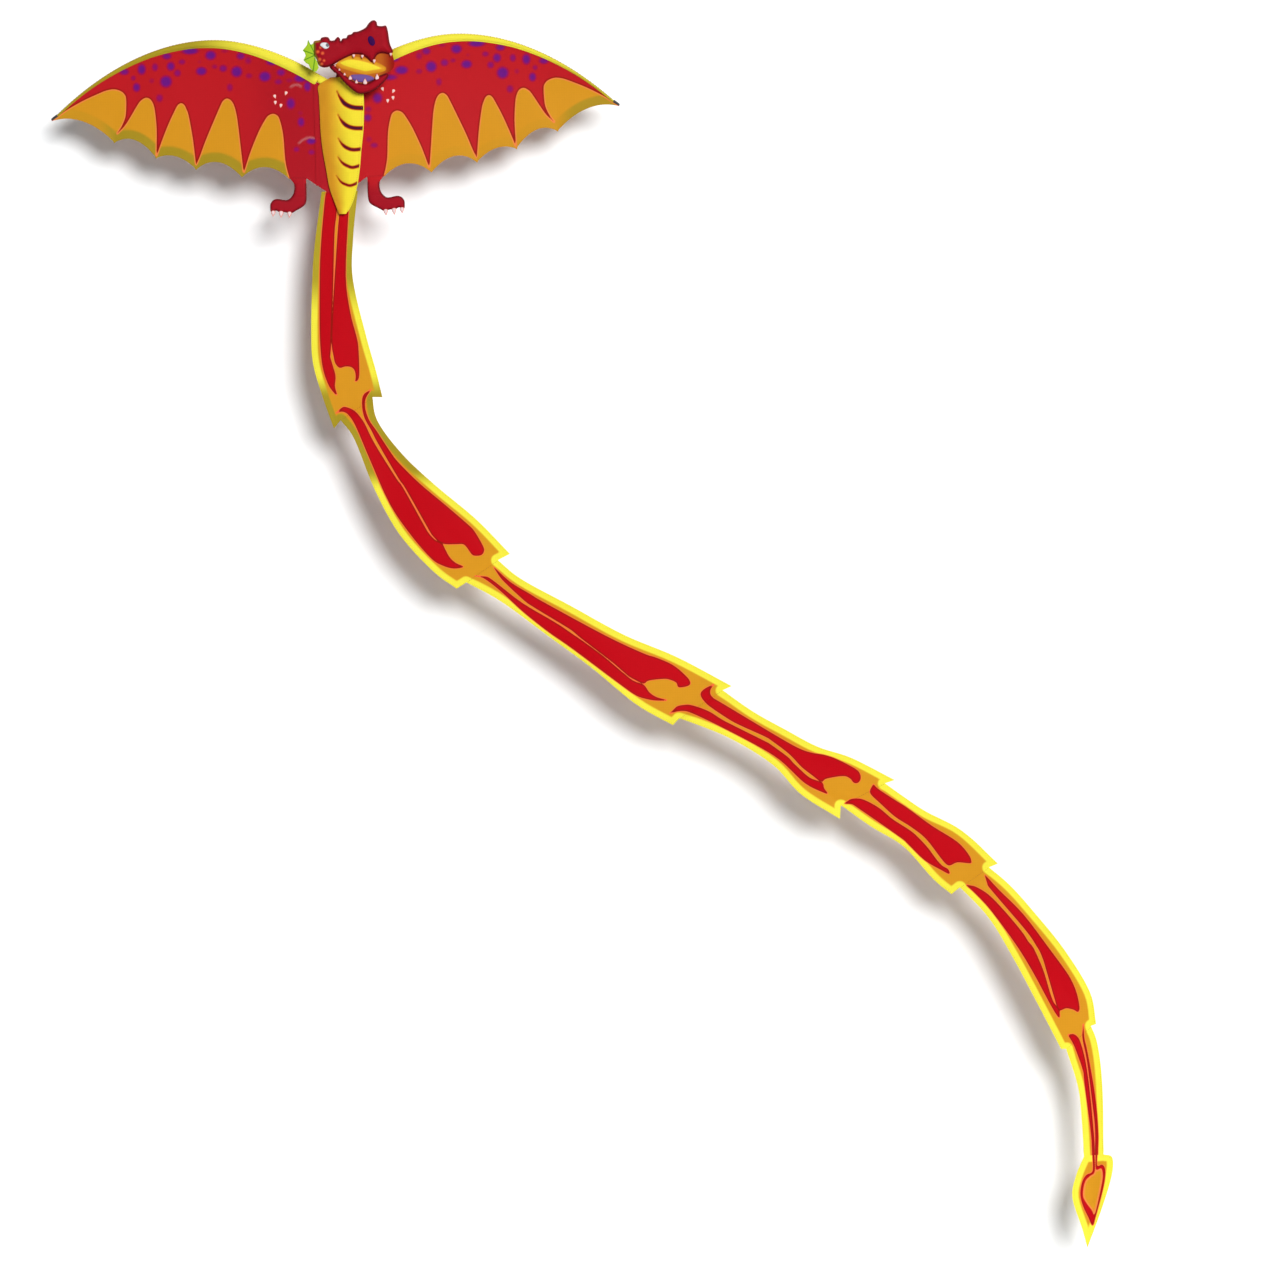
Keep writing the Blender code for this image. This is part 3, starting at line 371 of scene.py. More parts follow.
def colour_setting(label, code, about):
    return FloatVectorProperty(name=label, description=about, default=paint(code), size=3, subtype="COLOR",
                               min=0.0, max=1.0)


class KiteSizes(PropertyGroup):
    """Sizes of the kite's cloth, sewing and padding"""

    cloth: length_setting("Cloth thickness", 0.0005, "Thickness of the sails' cloth")
    hem: length_setting("Hem width", 0.0050, "Width of the doubled cloth along a free edge")
    stitch: length_setting("Stitch length", 0.0030, "Length of one stitch")
    pitch: length_setting("Stitch pitch", 0.0050, "Distance from one stitch to the next")
    thread: length_setting("Thread radius", 0.00035, "Radius of the sewing thread")
    grid: length_setting("Sail grid", 0.0036, "Distance between points on a sail")
    tail_wave: length_setting("Tail wave", 0.0050, "How far the tail's cloth waves to the front and back")
    head_puff: length_setting("Head puff", 0.0125, "Half the thickness of the stuffed head")
    jaw_puff: length_setting("Jaw puff", 0.0100, "Half the thickness of the stuffed jaw")
    leg_puff: length_setting("Leg puff", 0.0022, "Half the thickness of a leg")
    slack: share_setting("Slack", 0.0015, "How much larger the cloth is cut than its frame")


class KiteColours(PropertyGroup):
    """Dyes, painted shades and finishes"""

    wing_red: colour_setting("Wing red", "C41A22", "Main colour of the wings")
    # Deep red is painted shade: on the left wing close to the body, and on each leg towards its foot.
    shade_red: colour_setting("Deep red", "A81222", "Wing cloth near the body")
    rim_brown: colour_setting("Rim brown", "9C1408", "Dark line round a membrane")
    rim_coral: colour_setting("Rim coral", "F88A44", "Light line inside a membrane")
    membrane: colour_setting("Membrane", "DE981E", "Membranes and the tail's orange")
    olive: colour_setting("Olive", "A89020", "Shaded yellow along hems and borders")
    spot_halo: colour_setting("Spot halo", "A80A46", "Outside of a dyed spot")
    spot_core: colour_setting("Spot core", "6E1484", "Middle of a dyed spot")
    yellow: colour_setting("Yellow", "FCEF44", "Sleeves and borders")
    tail_red: colour_setting("Tail red", "C60012", "Lobes on the tail")
    tail_rim: colour_setting("Tail rim", "9A1206", "Dark line inside a lobe")
    vein: colour_setting("Vein", "FF6E3C", "Coral line between the lobes")
    belly: colour_setting("Belly", "FFE838", "Belly's bright side")
    belly_shade: colour_setting("Belly shade", "E8A028", "Belly's shaded side")
    rung: colour_setting("Rung", "4A1430", "Bands across the belly")
    head: colour_setting("Head", "A80E20", "Head and jaw")
    # Head rim is painted shade where the stuffed head, jaw, neck and legs round off to their seams; it also colours
    # the eyes' edge and the red thread.
    head_rim: colour_setting("Head rim", "740C18", "Edge of the head and legs")
    frill: colour_setting("Frill", "AED230", "Cheek frill")
    rib: colour_setting("Rib", "5E9A1C", "Sewn ribs of the cheek frill")
    mouth: colour_setting("Mouth", "C4661C", "Mouth lining")
    gum: colour_setting("Gum", "785AA0", "Tongue")
    nostril: colour_setting("Nostril", "3C0850", "Nostrils")
    claw: colour_setting("Claw", "F8DCDC", "Claws and teeth")
    tape: colour_setting("Tape", "181818", "Webbing and pockets")


class StudioSettings(PropertyGroup):
    """Camera, lights and backdrop"""

    lens: FloatProperty(name="Lens", description="Focal length in millimetres", default=300.0, min=20.0)
    wall_gap: length_setting("Wall gap", 0.160, "Distance from the sail to the wall behind it")
    sun: FloatProperty(name="Sun", description="Strength of the key light", default=3.38, min=0.0)
    ambient: share_setting("Ambient", 0.125, "Strength of the light from all round")


# ---- lines and outlines


def smooth_line(points, steps=6):
    """Points along a smooth line through the given ones."""
    pts = np.array(points, float)
    ends = np.vstack([2 * pts[0] - pts[1], pts, 2 * pts[-1] - pts[-2]])
    out = []
    for a, b, c, d in zip(ends, ends[1:], ends[2:], ends[3:]):
        for t in np.arange(steps) / steps:
            bend = (2 * a - 5 * b + 4 * c - d) * t ** 2 + (3 * b - a - 3 * c + d) * t ** 3
            out.append(0.5 * (2 * b + (c - a) * t + bend))
    out.append(pts[-1])
    return np.array(out)


def smooth_loop(points, steps=4):
    """Points along a smooth closed outline, the first one not repeated."""
    pts = [tuple(p) for p in points]
    line = smooth_line([pts[-1]] + pts + [pts[0]], steps)
    return line[steps:-steps] if steps > 1 else np.array(pts)


def shares_of(count):
    """Equally spaced shares from 0 to 1."""
    return np.linspace(0.0, 1.0, count)


def spaced(line, count):
    """A number of points at equal distances along a line."""
    line = np.asarray(line, float)
    gaps = np.linalg.norm(np.diff(line, axis=0), axis=1)
    far = np.concatenate([[0.0], np.cumsum(gaps)])
    at = np.linspace(0.0, far[-1], count)
    return np.stack([np.interp(at, far, line[:, k]) for k in range(line.shape[1])], axis=1)


def line_length(line):
    return float(np.linalg.norm(np.diff(np.asarray(line, float), axis=0), axis=1).sum())


def distance(points, line):
    """How far each flat point is from a line of straight pieces."""
    best = np.full(len(points), 9.0)
    for a, b in zip(line, line[1:]):
        along = b - a
        t = np.clip(((points - a) @ along) / max(along @ along, 1e-12), 0.0, 1.0)
        best = np.minimum(best, np.linalg.norm(points - a - t[:, None] * along, axis=1))
    return best


def inside(points, loop):
    """Which flat points lie inside a closed outline."""
    x, z = points.T
    result = np.zeros(len(points), bool)
    for (x0, z0), (x1, z1) in zip(loop, np.roll(loop, -1, axis=0)):
        crosses = (z0 > z) != (z1 > z)
        rise = z1 - z0 if z1 != z0 else 1e-12
        result ^= crosses & (x < (x1 - x0) * (z - z0) / rise + x0)
    return result


def signed(points, loop):
    """Distance to a closed outline, positive inside it."""
    away = distance(points, np.vstack([loop, loop[:1]]))
    return np.where(inside(points, loop), away, -away)


def ease(value, low, high):
    t = np.clip((value - low) / (high - low), 0.0, 1.0)
    return t * t * (3 - 2 * t)


def dome(away, reach, high):
    """Height of a stuffed edge at a distance from its seam: steep at the seam, level past reach."""
    t = np.clip(away / reach, 0.0, 1.0)
    return high * np.sqrt(1.0 - (1.0 - t) ** 2)


def hemmed(away):
    """Thickness of the cloth at a distance from a free edge, where it is doubled."""
    sizes = bpy.context.scene.kite_sizes
    return sizes.cloth * (1.0 + 1.2 * (1.0 - ease(away, sizes.hem * 0.8, sizes.hem * 1.1)))


# ---- the wing's frame lines


def bezier_points(knots, steps):
    a, b, c, d = (np.array(p) for p in knots)
    t = shares_of(steps)[:, None]
    s = 1.0 - t
    return a * s ** 3 + b * 3 * s * s * t + c * 3 * s * t * t + d * t ** 3


FRONT_EDGE = np.vstack([bezier_points(arc, 81) for arc in LEADING_EDGE])


def edge_height(x):
    return np.interp(x, FRONT_EDGE[:, 0], FRONT_EDGE[:, 1])


def edge_slope(x):
    h = 0.002
    return (edge_height(np.asarray(x) + h) - edge_height(np.asarray(x) - h)) / (2 * h)


def hem_height(x):
    """Height of the scalloped trailing edge."""
    x = np.asarray(x, float)
    foot = BODY_FOOT[1] + (LEG_TOP - BODY_FOOT[1]) * (x - BODY_FOOT[0]) / (CROTCH_X - BODY_FOOT[0])
    z = np.where(x < CROTCH_X, foot, LEG_TOP)
    for (x0, z0), (x1, z1), rise in zip(CUSPS, CUSPS[1:], ARC_RISE):
        t = (x - x0) / (x1 - x0)
        z = np.where((x > x0) & (x <= x1), z0 + (z1 - z0) * t + rise * 4 * t * (1 - t), z)
    return z


def bow(x):
    return WING_BOW * np.clip((np.asarray(x, float) - FOLD_X) / (HALF_SPAN - FOLD_X), 0.0, None) ** 1.5


def sleeve_width(x):
    return np.interp(x, [place for place, _ in SLEEVE_WIDTHS], [width for _, width in SLEEVE_WIDTHS])


def flat_points(grid):
    """The x and z of a grid's points, one after another."""
    return grid[..., ::2].reshape(-1, 2)


def hem_distance(flat):
    """How far flat points are from the scalloped hem."""
    xs = np.linspace(CUSPS[0][0], HALF_SPAN, 240)
    return distance(flat, np.column_stack([xs, hem_height(xs)]))


def sail_depth(x, share):
    along = np.clip((x - FOLD_X) / (HALF_SPAN - FOLD_X), 0.0, 1.0)
    return SAIL_Y + bow(x) + SAIL_CAMBER * np.sin(math.pi * along) * np.sin(math.pi * share)


def spreader_point(share, side):
    x = SPREADER_START + (SPREADER_END - SPREADER_START) * share
    height = SPREADER_END_HEIGHT * (x - FOLD_X) / (SPREADER_END - FOLD_X)
    return (side * x, float(SAIL_Y + bow(x) + SPREADER_LIFT + 0.003 * math.sin(math.pi * share)), height)


# ---- meshes


def placed(name, data):
    """An object in the scene that shows the data."""
    obj = bpy.data.objects.new(name, data)
    bpy.context.scene.collection.objects.link(obj)
    return obj


def mesh_piece(name, points, faces, finish, marks=None):
    """An object from points and faces, closed and facing outward, with a number per point for each mark."""
    mesh = bpy.data.meshes.new(name)
    mesh.from_pydata(np.asarray(points).tolist(), [], [tuple(int(i) for i in f) for f in faces])
    for label, values in (marks or {}).items():
        layer = mesh.attributes.new(label, "FLOAT", "POINT")
        layer.data.foreach_set("value", np.asarray(values, np.float32).ravel())
    bm = bmesh.new()
    bm.from_mesh(mesh)
    bmesh.ops.delete(bm, geom=[v for v in bm.verts if not v.link_faces], context="VERTS")
    bmesh.ops.remove_doubles(bm, verts=bm.verts, dist=0.000002)
    bmesh.ops.dissolve_degenerate(bm, edges=bm.edges, dist=0.000001)
    bmesh.ops.recalc_face_normals(bm, faces=bm.faces)
    bm.to_mesh(mesh)
    bm.free()
    mesh.shade_smooth()
    mesh.set_sharp_from_angle(angle=math.radians(50))
    mesh.materials.append(bpy.data.materials[finish])
    return placed(name, mesh)


def grid_faces(rows, cols):
    """The numbers of a grid's points and its faces."""
    index = np.arange(rows * cols).reshape(rows, cols)
    corners = (index[:-1, :-1], index[:-1, 1:], index[1:, 1:], index[1:, :-1])
    return index, np.stack(corners, axis=-1).reshape(-1, 4)


def sheet_piece(name, spots, thick, finish, marks=None):
    """A closed sheet of cloth through a grid of points."""
    rows, cols = spots.shape[:2]
    normal = np.cross(np.gradient(spots, axis=1), np.gradient(spots, axis=0))
    normal /= np.maximum(np.linalg.norm(normal, axis=2, keepdims=True), 1e-9)
    half = normal * np.broadcast_to(thick, (rows, cols))[..., None] / 2
    points = np.concatenate([(spots + half).reshape(-1, 3), (spots - half).reshape(-1, 3)])
    index, front = grid_faces(rows, cols)
    back = front[:, ::-1] + rows * cols
    loop = np.concatenate([index[0, :], index[1:, -1], index[-1, -2::-1], index[-2:0:-1, 0]])
    after = np.roll(loop, -1)
    wall = np.stack([after, loop, loop + rows * cols, after + rows * cols], axis=-1)
    both = {label: np.concatenate([np.ravel(v), np.ravel(v)]) for label, v in (marks or {}).items()}
    return mesh_piece(name, points, np.concatenate([front, back, wall]), finish, both)


def flat_patch(loop, step):
    """The points and triangles that fill a closed flat outline."""
    closed = np.vstack([loop, loop[:1]])
    edge = spaced(closed, max(12, int(line_length(closed) / step)) + 1)[:-1]
    low, high = edge.min(0), edge.max(0)
    grid = []
    for row, z in enumerate(np.arange(low[1], high[1], step * 0.866)):
        start = low[0] + (step / 2 if row % 2 else 0.0)
        grid += [(x, z) for x in np.arange(start, high[0], step)]
    grid = np.array(grid)
    grid = grid[signed(grid, edge) > step * 0.55]
    points = np.vstack([edge, grid])
    count = len(edge)
    found = delaunay_2d_cdt([Vector(p) for p in points], [], [list(range(count))], 1, 1e-7)
    return np.array([tuple(v) for v in found[0]]), found[2]


def puffed(reach, high, base=0.0):
    """The height rule of a stuffed shape that is level past a distance reach from its seam."""
    return lambda points, away: base + dome(away, reach, high)


def pillow(name, loop, step, y, finish, front, back=None, marks=None, hole=None):
    """A closed stuffed shape on a flat outline. front and back give the height of each side from the
    points and their distance to the seam, marks gives numbers for the finish in the same way, and hole is
    the middle and radius of a round opening."""
    points, triangles = flat_patch(loop, step)
    if hole:
        triangles = [t for t in triangles if np.linalg.norm(points[list(t)].mean(0) - hole[0]) > hole[1]]
    away = distance(points, np.vstack([loop, loop[:1]]))
    away[away < step * 0.05] = 0.0
    count = len(points)
    y = y(points) if callable(y) else np.full(count, y)
    ahead = np.column_stack([points[:, 0], y - front(points, away), points[:, 1]])
    behind = np.column_stack([points[:, 0], y + (back or front)(points, away), points[:, 1]])
    faces = [tuple(t) for t in triangles] + [tuple(i + count for i in reversed(t)) for t in triangles]
    rims = {}
    for t in triangles:
        for a, b in zip(t, (*t[1:], t[0])):
            if (b, a) in rims:
                del rims[(b, a)]
            else:
                rims[(a, b)] = True
    faces += [(b, a, a + count, b + count) for a, b in rims]
    values = {label: np.tile(v, 2) for label, v in (marks(points, away) if marks else {}).items()}
    values.setdefault("edge", np.tile(away, 2))
    return mesh_piece(name, np.vstack([ahead, behind]), faces, finish, values)


def ring_faces(rings, sides, start=0):
    """The faces between rings of points that follow one another."""
    return [(a + k, a + (k + 1) % sides, a + (k + 1) % sides + sides, a + k + sides)
            for a in range(start, start + (rings - 1) * sides, sides) for k in range(sides)]


def tube_piece(name, line, radius, finish, sides=16):
    """A round rod or tube through points, with slightly rounded ends."""
    line = np.asarray(line, float)
    radii = np.broadcast_to(np.asarray(radius, float), (len(line),)).copy()
    along = np.gradient(line, axis=0)
    along /= np.linalg.norm(along, axis=1, keepdims=True)
    ends = (line[0] - along[0] * radii[0] * 0.25, line[-1] + along[-1] * radii[-1] * 0.25)
    line = np.vstack([ends[0], line, ends[1]])
    along = np.vstack([along[0], along, along[-1]])
    radii = np.concatenate([[radii[0] * 0.7], radii, [radii[-1] * 0.7]])
    side = np.cross(along, (0.0, 1.0, 0.0))
    weak = np.linalg.norm(side, axis=1) < 1e-3
    side[weak] = np.cross(along[weak], (1.0, 0.0, 0.0))
    side /= np.linalg.norm(side, axis=1, keepdims=True)
    up = np.cross(side, along)
    angle = (np.arange(sides) * 2 * math.pi / sides)[:, None]
    rings = side[:, None] * np.cos(angle) + up[:, None] * np.sin(angle)
    points = line[:, None] + rings * radii[:, None, None]
    faces = ring_faces(len(line), sides)
    faces += [range(sides)[::-1], range((len(line) - 1) * sides, len(line) * sides)]
    return mesh_piece(name, points.reshape(-1, 3), faces, finish)


def stitches(name, runs, finish, reach=0.0, weight=1.0):
    """Sewing along lines: one short thread after another, each standing proud on both sides of the cloth."""
    sizes = bpy.context.scene.kite_sizes
    thread = sizes.thread * weight
    high = sizes.cloth / 2 + reach + thread * 1.1
    shape = [(-0.5, 0.0, 0.0)]
    for at, wide in ((-0.36, 0.8), (0.0, 1.0), (0.36, 0.8)):
        shape += [(at, wide * math.cos(a), wide * math.sin(a)) for a in np.arange(6) * math.pi / 3]
    shape.append((0.5, 0.0, 0.0))
    pattern = [(0, 1 + (k + 1) % 6, 1 + k) for k in range(6)] + ring_faces(3, 6, 1)
    pattern += [(13 + k, 13 + (k + 1) % 6, 19) for k in range(6)]
    points, faces = [], []
    for run in runs:
        run = np.asarray(run, float)
        count = max(2, int(line_length(run) / (sizes.pitch * weight)))
        places = spaced(run, count * 2 + 1)
        for before, at, after in zip(places[0::2], places[1::2], places[2::2]):
            along = after - before
            along /= max(np.linalg.norm(along), 1e-9)
            side = np.cross(along, (0.0, 1.0, 0.0))
            side /= max(np.linalg.norm(side), 1e-9)
            proud = np.cross(side, along)
            start = len(points)
            for t, u, v in shape:
                points.append(at + along * t * sizes.stitch * weight + side * u * thread + proud * v * high)
            faces += [tuple(i + start for i in f) for f in pattern]
    return mesh_piece(name, points, faces, finish)


def drape(spots, held, pull, slack, forward, backward, every=4, frames=16):
    """Lets a coarse copy of a sheet hang as real cloth from its held points, and moves the sheet with it.
    The move levels off towards forward and backward, the room there is to each side."""
    rows, cols = spots.shape[:2]
    down = np.unique(np.append(np.arange(0, rows, every), rows - 1))
    over = np.unique(np.append(np.arange(0, cols, every), cols - 1))
    coarse = spots[np.ix_(down, over)]
    n, m = coarse.shape[:2]
    index, faces = grid_faces(n, m)
    mesh = bpy.data.meshes.new("hanging")
    mesh.from_pydata(coarse.reshape(-1, 3).tolist(), [], faces.tolist())
    obj = placed("hanging", mesh)
    scene = bpy.context.scene
    group = obj.vertex_groups.new(name="held")
    group.add([int(i) for i in index[held[np.ix_(down, over)]]], 1.0, "REPLACE")
    cloth = obj.modifiers.new("cloth", "CLOTH")
    for key, value in {**SAILCLOTH, "vertex_group_mass": "held", "shrink_min": -slack, "shrink_max": -slack}.items():
        setattr(cloth.settings, key, value)
    cloth.collision_settings.use_collision = False
    cloth.point_cache.frame_end = frames
    scene.gravity = pull
    for number in range(1, frames + 1):
        scene.frame_set(number)
    graph = bpy.context.evaluated_depsgraph_get()
    hung = np.array([tuple(v.co) for v in obj.evaluated_get(graph).data.vertices]).reshape(n, m, 3)
    bpy.data.objects.remove(obj, do_unlink=True)
    scene.frame_set(1)
    moved = np.clip(hung - coarse, -0.02, 0.02)
    tall = np.stack([[np.interp(np.arange(rows), down, moved[:, j, k]) for j in range(m)] for k in range(3)])
    wide = np.stack([[np.interp(np.arange(cols), over, tall[k, :, i]) for i in range(rows)] for k in range(3)])
    shift = np.moveaxis(wide, 0, -1)
    for _ in range(6):
        soft = shift.copy()
        soft[1:-1, 1:-1] = (shift[:-2, 1:-1] + shift[2:, 1:-1] + shift[1:-1, :-2] + shift[1:-1, 2:]) / 4
        shift = np.where(held[..., None], 0.0, soft)
    shift[..., ::2] = np.clip(shift[..., ::2], -0.0015, 0.0015)
    room = np.maximum(np.where(shift[..., 1] < 0, forward, backward), 0.00001)
    shift[..., 1] = room * np.tanh(shift[..., 1] / room)
    return spots + shift


def fasten(piece, where, slot, *stands_for):
    """Hangs a piece on a body, or else bakes its place into its points, and hides the imported parts it stands for.
    slot is not used.
    """
    if isinstance(where, str):
        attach(piece, where)
    else:
        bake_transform(piece)
    if stands_for:
        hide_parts(*stands_for)
    return piece


def sewn(name, runs, thread, where, slot, reach=0.0, weight=1.0):
    return fasten(stitches(f"{name}_stitches", runs, thread, reach, weight), where, slot)


def crossed_box(left, right, low, high):
    """A seam sewn round a box and across it, as x and z."""
    return [(left, low), (right, low), (right, high), (left, high), (left, low), (right, high)]


def moulded(name, start, end, shape, finish, sides):
    """A round moulding from start to end, its shape given as the share of the way and the radius there."""
    start, end = np.array(start), np.array(end)
    return tube_piece(name, [start + (end - start) * share for share, _ in shape], [r for _, r in shape], finish,
                      sides)


# ---- shader nodes


def add_node(tree, kind, inputs=None, **settings):
    """A shader node with its settings, whose inputs are joined to sockets or set to values."""
    made = tree.nodes.new(kind)
    for key, value in settings.items():
        setattr(made, key, value)
    for socket, value in (inputs or {}).items():
        if isinstance(value, bpy.types.NodeSocket):
            tree.links.new(value, made.inputs[socket])
        else:
            made.inputs[socket].default_value = value
    return made


def calc(tree, operation, a, b=0.0):
    return add_node(tree, "ShaderNodeMath", {0: a, 1: b}, operation=operation).outputs[0]


def times(tree, a, b):
    return calc(tree, "MULTIPLY", a, b)


def plus(tree, a, b):
    return calc(tree, "ADD", a, b)


def noise(tree, place, scale, detail):
    inputs = {"Vector": place, "Scale": scale, "Detail": detail}
    return add_node(tree, "ShaderNodeTexNoise", inputs).outputs["Fac"]


def step_between(tree, value, low, high):
    """0 below low, 1 above high and a smooth step between."""
    node = add_node(tree, "ShaderNodeMapRange", {0: value, 1: low, 2: high}, interpolation_type="SMOOTHSTEP")
    return node.outputs[0]


def colour_value(value):
    return value if isinstance(value, bpy.types.NodeSocket) else (*tuple(value)[:3], 1.0)


def blend_colours(tree, share, a, b):
    inputs = {0: share, 6: colour_value(a), 7: colour_value(b)}
    return add_node(tree, "ShaderNodeMix", inputs, data_type="RGBA").outputs[2]


def mark(tree, name):
    return add_node(tree, "ShaderNodeAttribute", attribute_name=name).outputs["Fac"]


def turn_over(tree, name, low, high, a, b):
    """Colour a where a mark is below low and b where it is above high."""
    return blend_colours(tree, step_between(tree, mark(tree, name), low, high), a, b)


def new_group(name, inputs, outputs):
    tree = bpy.data.node_groups.new(name, "ShaderNodeTree")
    for label, kind, default in inputs:
        socket = tree.interface.new_socket(label, in_out="INPUT", socket_type=f"NodeSocket{kind}")
        socket.default_value = default
    for label, kind in outputs:
        tree.interface.new_socket(label, in_out="OUTPUT", socket_type=f"NodeSocket{kind}")
    return tree, tree.nodes.new("NodeGroupInput").outputs, tree.nodes.new("NodeGroupOutput").inputs


def use_group(tree, name, inputs):
    return add_node(tree, "ShaderNodeGroup", inputs, node_tree=bpy.data.node_groups[name]).outputs


def make_weave_group():
    """Plain-woven sailcloth with heavier threads crossing it, and slow changes of shade."""
    tree, given, out = new_group(
        "Sailcloth weave",
        (("Thread pitch", "Float", 0.0008), ("Rib pitch", "Float", 0.0060), ("Mottle", "Float", 0.06)),
        (("Shade", "Float"), ("Height", "Float")),
    )
    place = add_node(tree, "ShaderNodeTexCoord").outputs["Object"]
    axes = add_node(tree, "ShaderNodeSeparateXYZ", {0: place}).outputs
    turn = 2 * math.pi
    threads, ribs = [], []
    for axis in (axes["X"], axes["Z"]):
        fine, rib = (calc(tree, wave, calc(tree, "DIVIDE", times(tree, axis, turn), given[pitch]))
                     for wave, pitch in (("SINE", "Thread pitch"), ("COSINE", "Rib pitch")))
        threads.append(fine)
        ribs.append(step_between(tree, rib, 0.90, 0.99))
    woven = times(tree, *threads)
    ribbed = calc(tree, "MAXIMUM", *ribs)
    slow = noise(tree, place, 7.0, 3.0)
    quick = noise(tree, place, 90.0, 2.0)
    mixed = plus(tree, times(tree, slow, 1.3), times(tree, quick, 0.7))
    drift = times(tree, calc(tree, "SUBTRACT", mixed, 1.0), given["Mottle"])
    shade = calc(tree, "SUBTRACT", plus(tree, drift, 1.0), times(tree, ribbed, 0.05))
    tree.links.new(shade, out["Shade"])
    relief = plus(tree, times(tree, woven, 0.25), times(tree, ribbed, 0.7))
    tree.links.new(plus(tree, relief, times(tree, quick, 0.4)), out["Height"])


def make_printed_edge_group():
    """A printed motif on a ground, each with a rim of its own along the line where they meet."""
    tree, given, out = new_group(
        "Printed edge",
        (("Distance", "Float", 0.0), ("Ground", "Color", (1, 1, 1, 1)), ("Ground rim", "Color", (1, 1, 1, 1)),
         ("Motif rim", "Color", (1, 1, 1, 1)), ("Motif", "Color", (1, 1, 1, 1)),
         ("Ground rim width", "Float", 0.004), ("Motif rim width", "Float", 0.004)),
        (("Colour", "Color"), ("Share", "Float")),
    )
    away = given["Distance"]
    outer, full = (times(tree, given["Ground rim width"], share) for share in (-1.0, -0.35))
    colour = blend_colours(tree, step_between(tree, away, outer, full), given["Ground"], given["Ground rim"])
    inner = step_between(tree, away, times(tree, given["Motif rim width"], 0.35),
                         given["Motif rim width"])
    motif = blend_colours(tree, inner, given["Motif rim"], given["Motif"])
    share = step_between(tree, away, -0.0006, 0.0006)
    tree.links.new(blend_colours(tree, share, colour, motif), out["Colour"])
    tree.links.new(share, out["Share"])


def make_wear_group():
    """Handling marks on rods and moulded pieces: fine scuffs, dull patches and a little dust."""
    tree, given, out = new_group(
        "Handling wear",
        (("Scale", "Float", 120.0), ("Dust", "Float", 0.15)),
        (("Shade", "Float"), ("Roughness", "Float"), ("Height", "Float")),
    )
    place = add_node(tree, "ShaderNodeTexCoord").outputs["Object"]
    fine = noise(tree, place, given["Scale"], 5.0)
    scuffs = add_node(tree, "ShaderNodeTexVoronoi", {"Vector": place, "Scale": given["Scale"]}, feature="F1")
    dull = step_between(tree, noise(tree, place, 18.0, 3.0), 0.40, 0.70)
    tree.links.new(plus(tree, 1.0, times(tree, dull, given["Dust"])), out["Shade"])
    tree.links.new(plus(tree, times(tree, dull, 0.20), times(tree, fine, 0.15)), out["Roughness"])
    tree.links.new(plus(tree, fine, times(tree, scuffs.outputs["Distance"], 0.3)), out["Height"])


def new_finish(name):
    material = bpy.data.materials.new(name)
    material.use_nodes = True
    tree = material.node_tree
    return tree, tree.nodes["Principled BSDF"]


def cover(tree, shader, colour, shade, rough, height, relief):
    """Joins a shaded colour, a roughness and a fine relief to a finish."""
    shaded = add_node(tree, "ShaderNodeVectorMath", {0: colour, "Scale": shade}, operation="SCALE")
    bump = add_node(tree, "ShaderNodeBump", {"Height": height, "Strength": relief, "Distance": 0.0003})
    for label, socket in (("Base Color", shaded.outputs[0]), ("Roughness", rough), ("Normal", bump.outputs[0])):
        tree.links.new(socket, shader.inputs[label])


def cloth_finish(name, colour_of, roughness=0.55, sheen=0.01, thread=0.0008, rib=0.0060, mottle=0.06, relief=0.25):
    """A woven finish. colour_of takes the node tree and the dyes, painted shades among them, and gives the colour
    before its shading.
    """
    tree, shader = new_finish(name)
    woven = use_group(tree, "Sailcloth weave", {"Thread pitch": thread, "Rib pitch": rib, "Mottle": mottle})
    colour = colour_of(tree, bpy.context.scene.kite_colours)
    rough = plus(tree, roughness - 0.04, times(tree, woven["Height"], 0.08))
    cover(tree, shader, colour, times(tree, woven["Shade"], 0.80), rough, woven["Height"], relief)
    shader.inputs["Sheen Weight"].default_value = sheen
    shader.inputs["Sheen Roughness"].default_value = 0.4
    shader.inputs["Specular IOR Level"].default_value = 0.05


def hard_finish(name, colour, roughness, metallic=0.0, scale=160.0, dust=0.15, relief=0.15):
    """A rod, plastic or metal finish with handling marks."""
    tree, shader = new_finish(name)
    wear = use_group(tree, "Handling wear", {"Scale": scale, "Dust": dust})
    rough = plus(tree, roughness - 0.12, wear["Roughness"])
    cover(tree, shader, colour, wear["Shade"], rough, wear["Height"], relief)
    shader.inputs["Metallic"].default_value = metallic


def printed(tree, away, ground, ground_rim, motif_rim, motif, ground_width=0.004, motif_width=0.004):
    colours = {"Ground": ground, "Ground rim": ground_rim, "Motif rim": motif_rim, "Motif": motif}
    inputs = {label: colour_value(value) for label, value in colours.items()}
    inputs |= {"Distance": away, "Ground rim width": ground_width, "Motif rim width": motif_width}
    return use_group(tree, "Printed edge", inputs)["Colour"]


def wing_colours(tree, dye):
    # Painted shade: a deeper red where the near mark is set.
    red = blend_colours(tree, mark(tree, "near"), dye.wing_red, dye.shade_red)
    red = turn_over(tree, "spot", 0.05, 0.55, red, dye.spot_halo)
    red = turn_over(tree, "spot", 0.35, 0.95, red, dye.spot_core)
    red = blend_colours(tree, mark(tree, "glint"), red, dye.claw)
    # Painted shade: olive on the membranes along the hem.
    skin = blend_colours(tree, mark(tree, "olive"), dye.membrane, dye.olive)
    return printed(tree, mark(tree, "membrane"), red, dye.rim_brown, dye.rim_coral, skin, 0.0048, 0.0042)


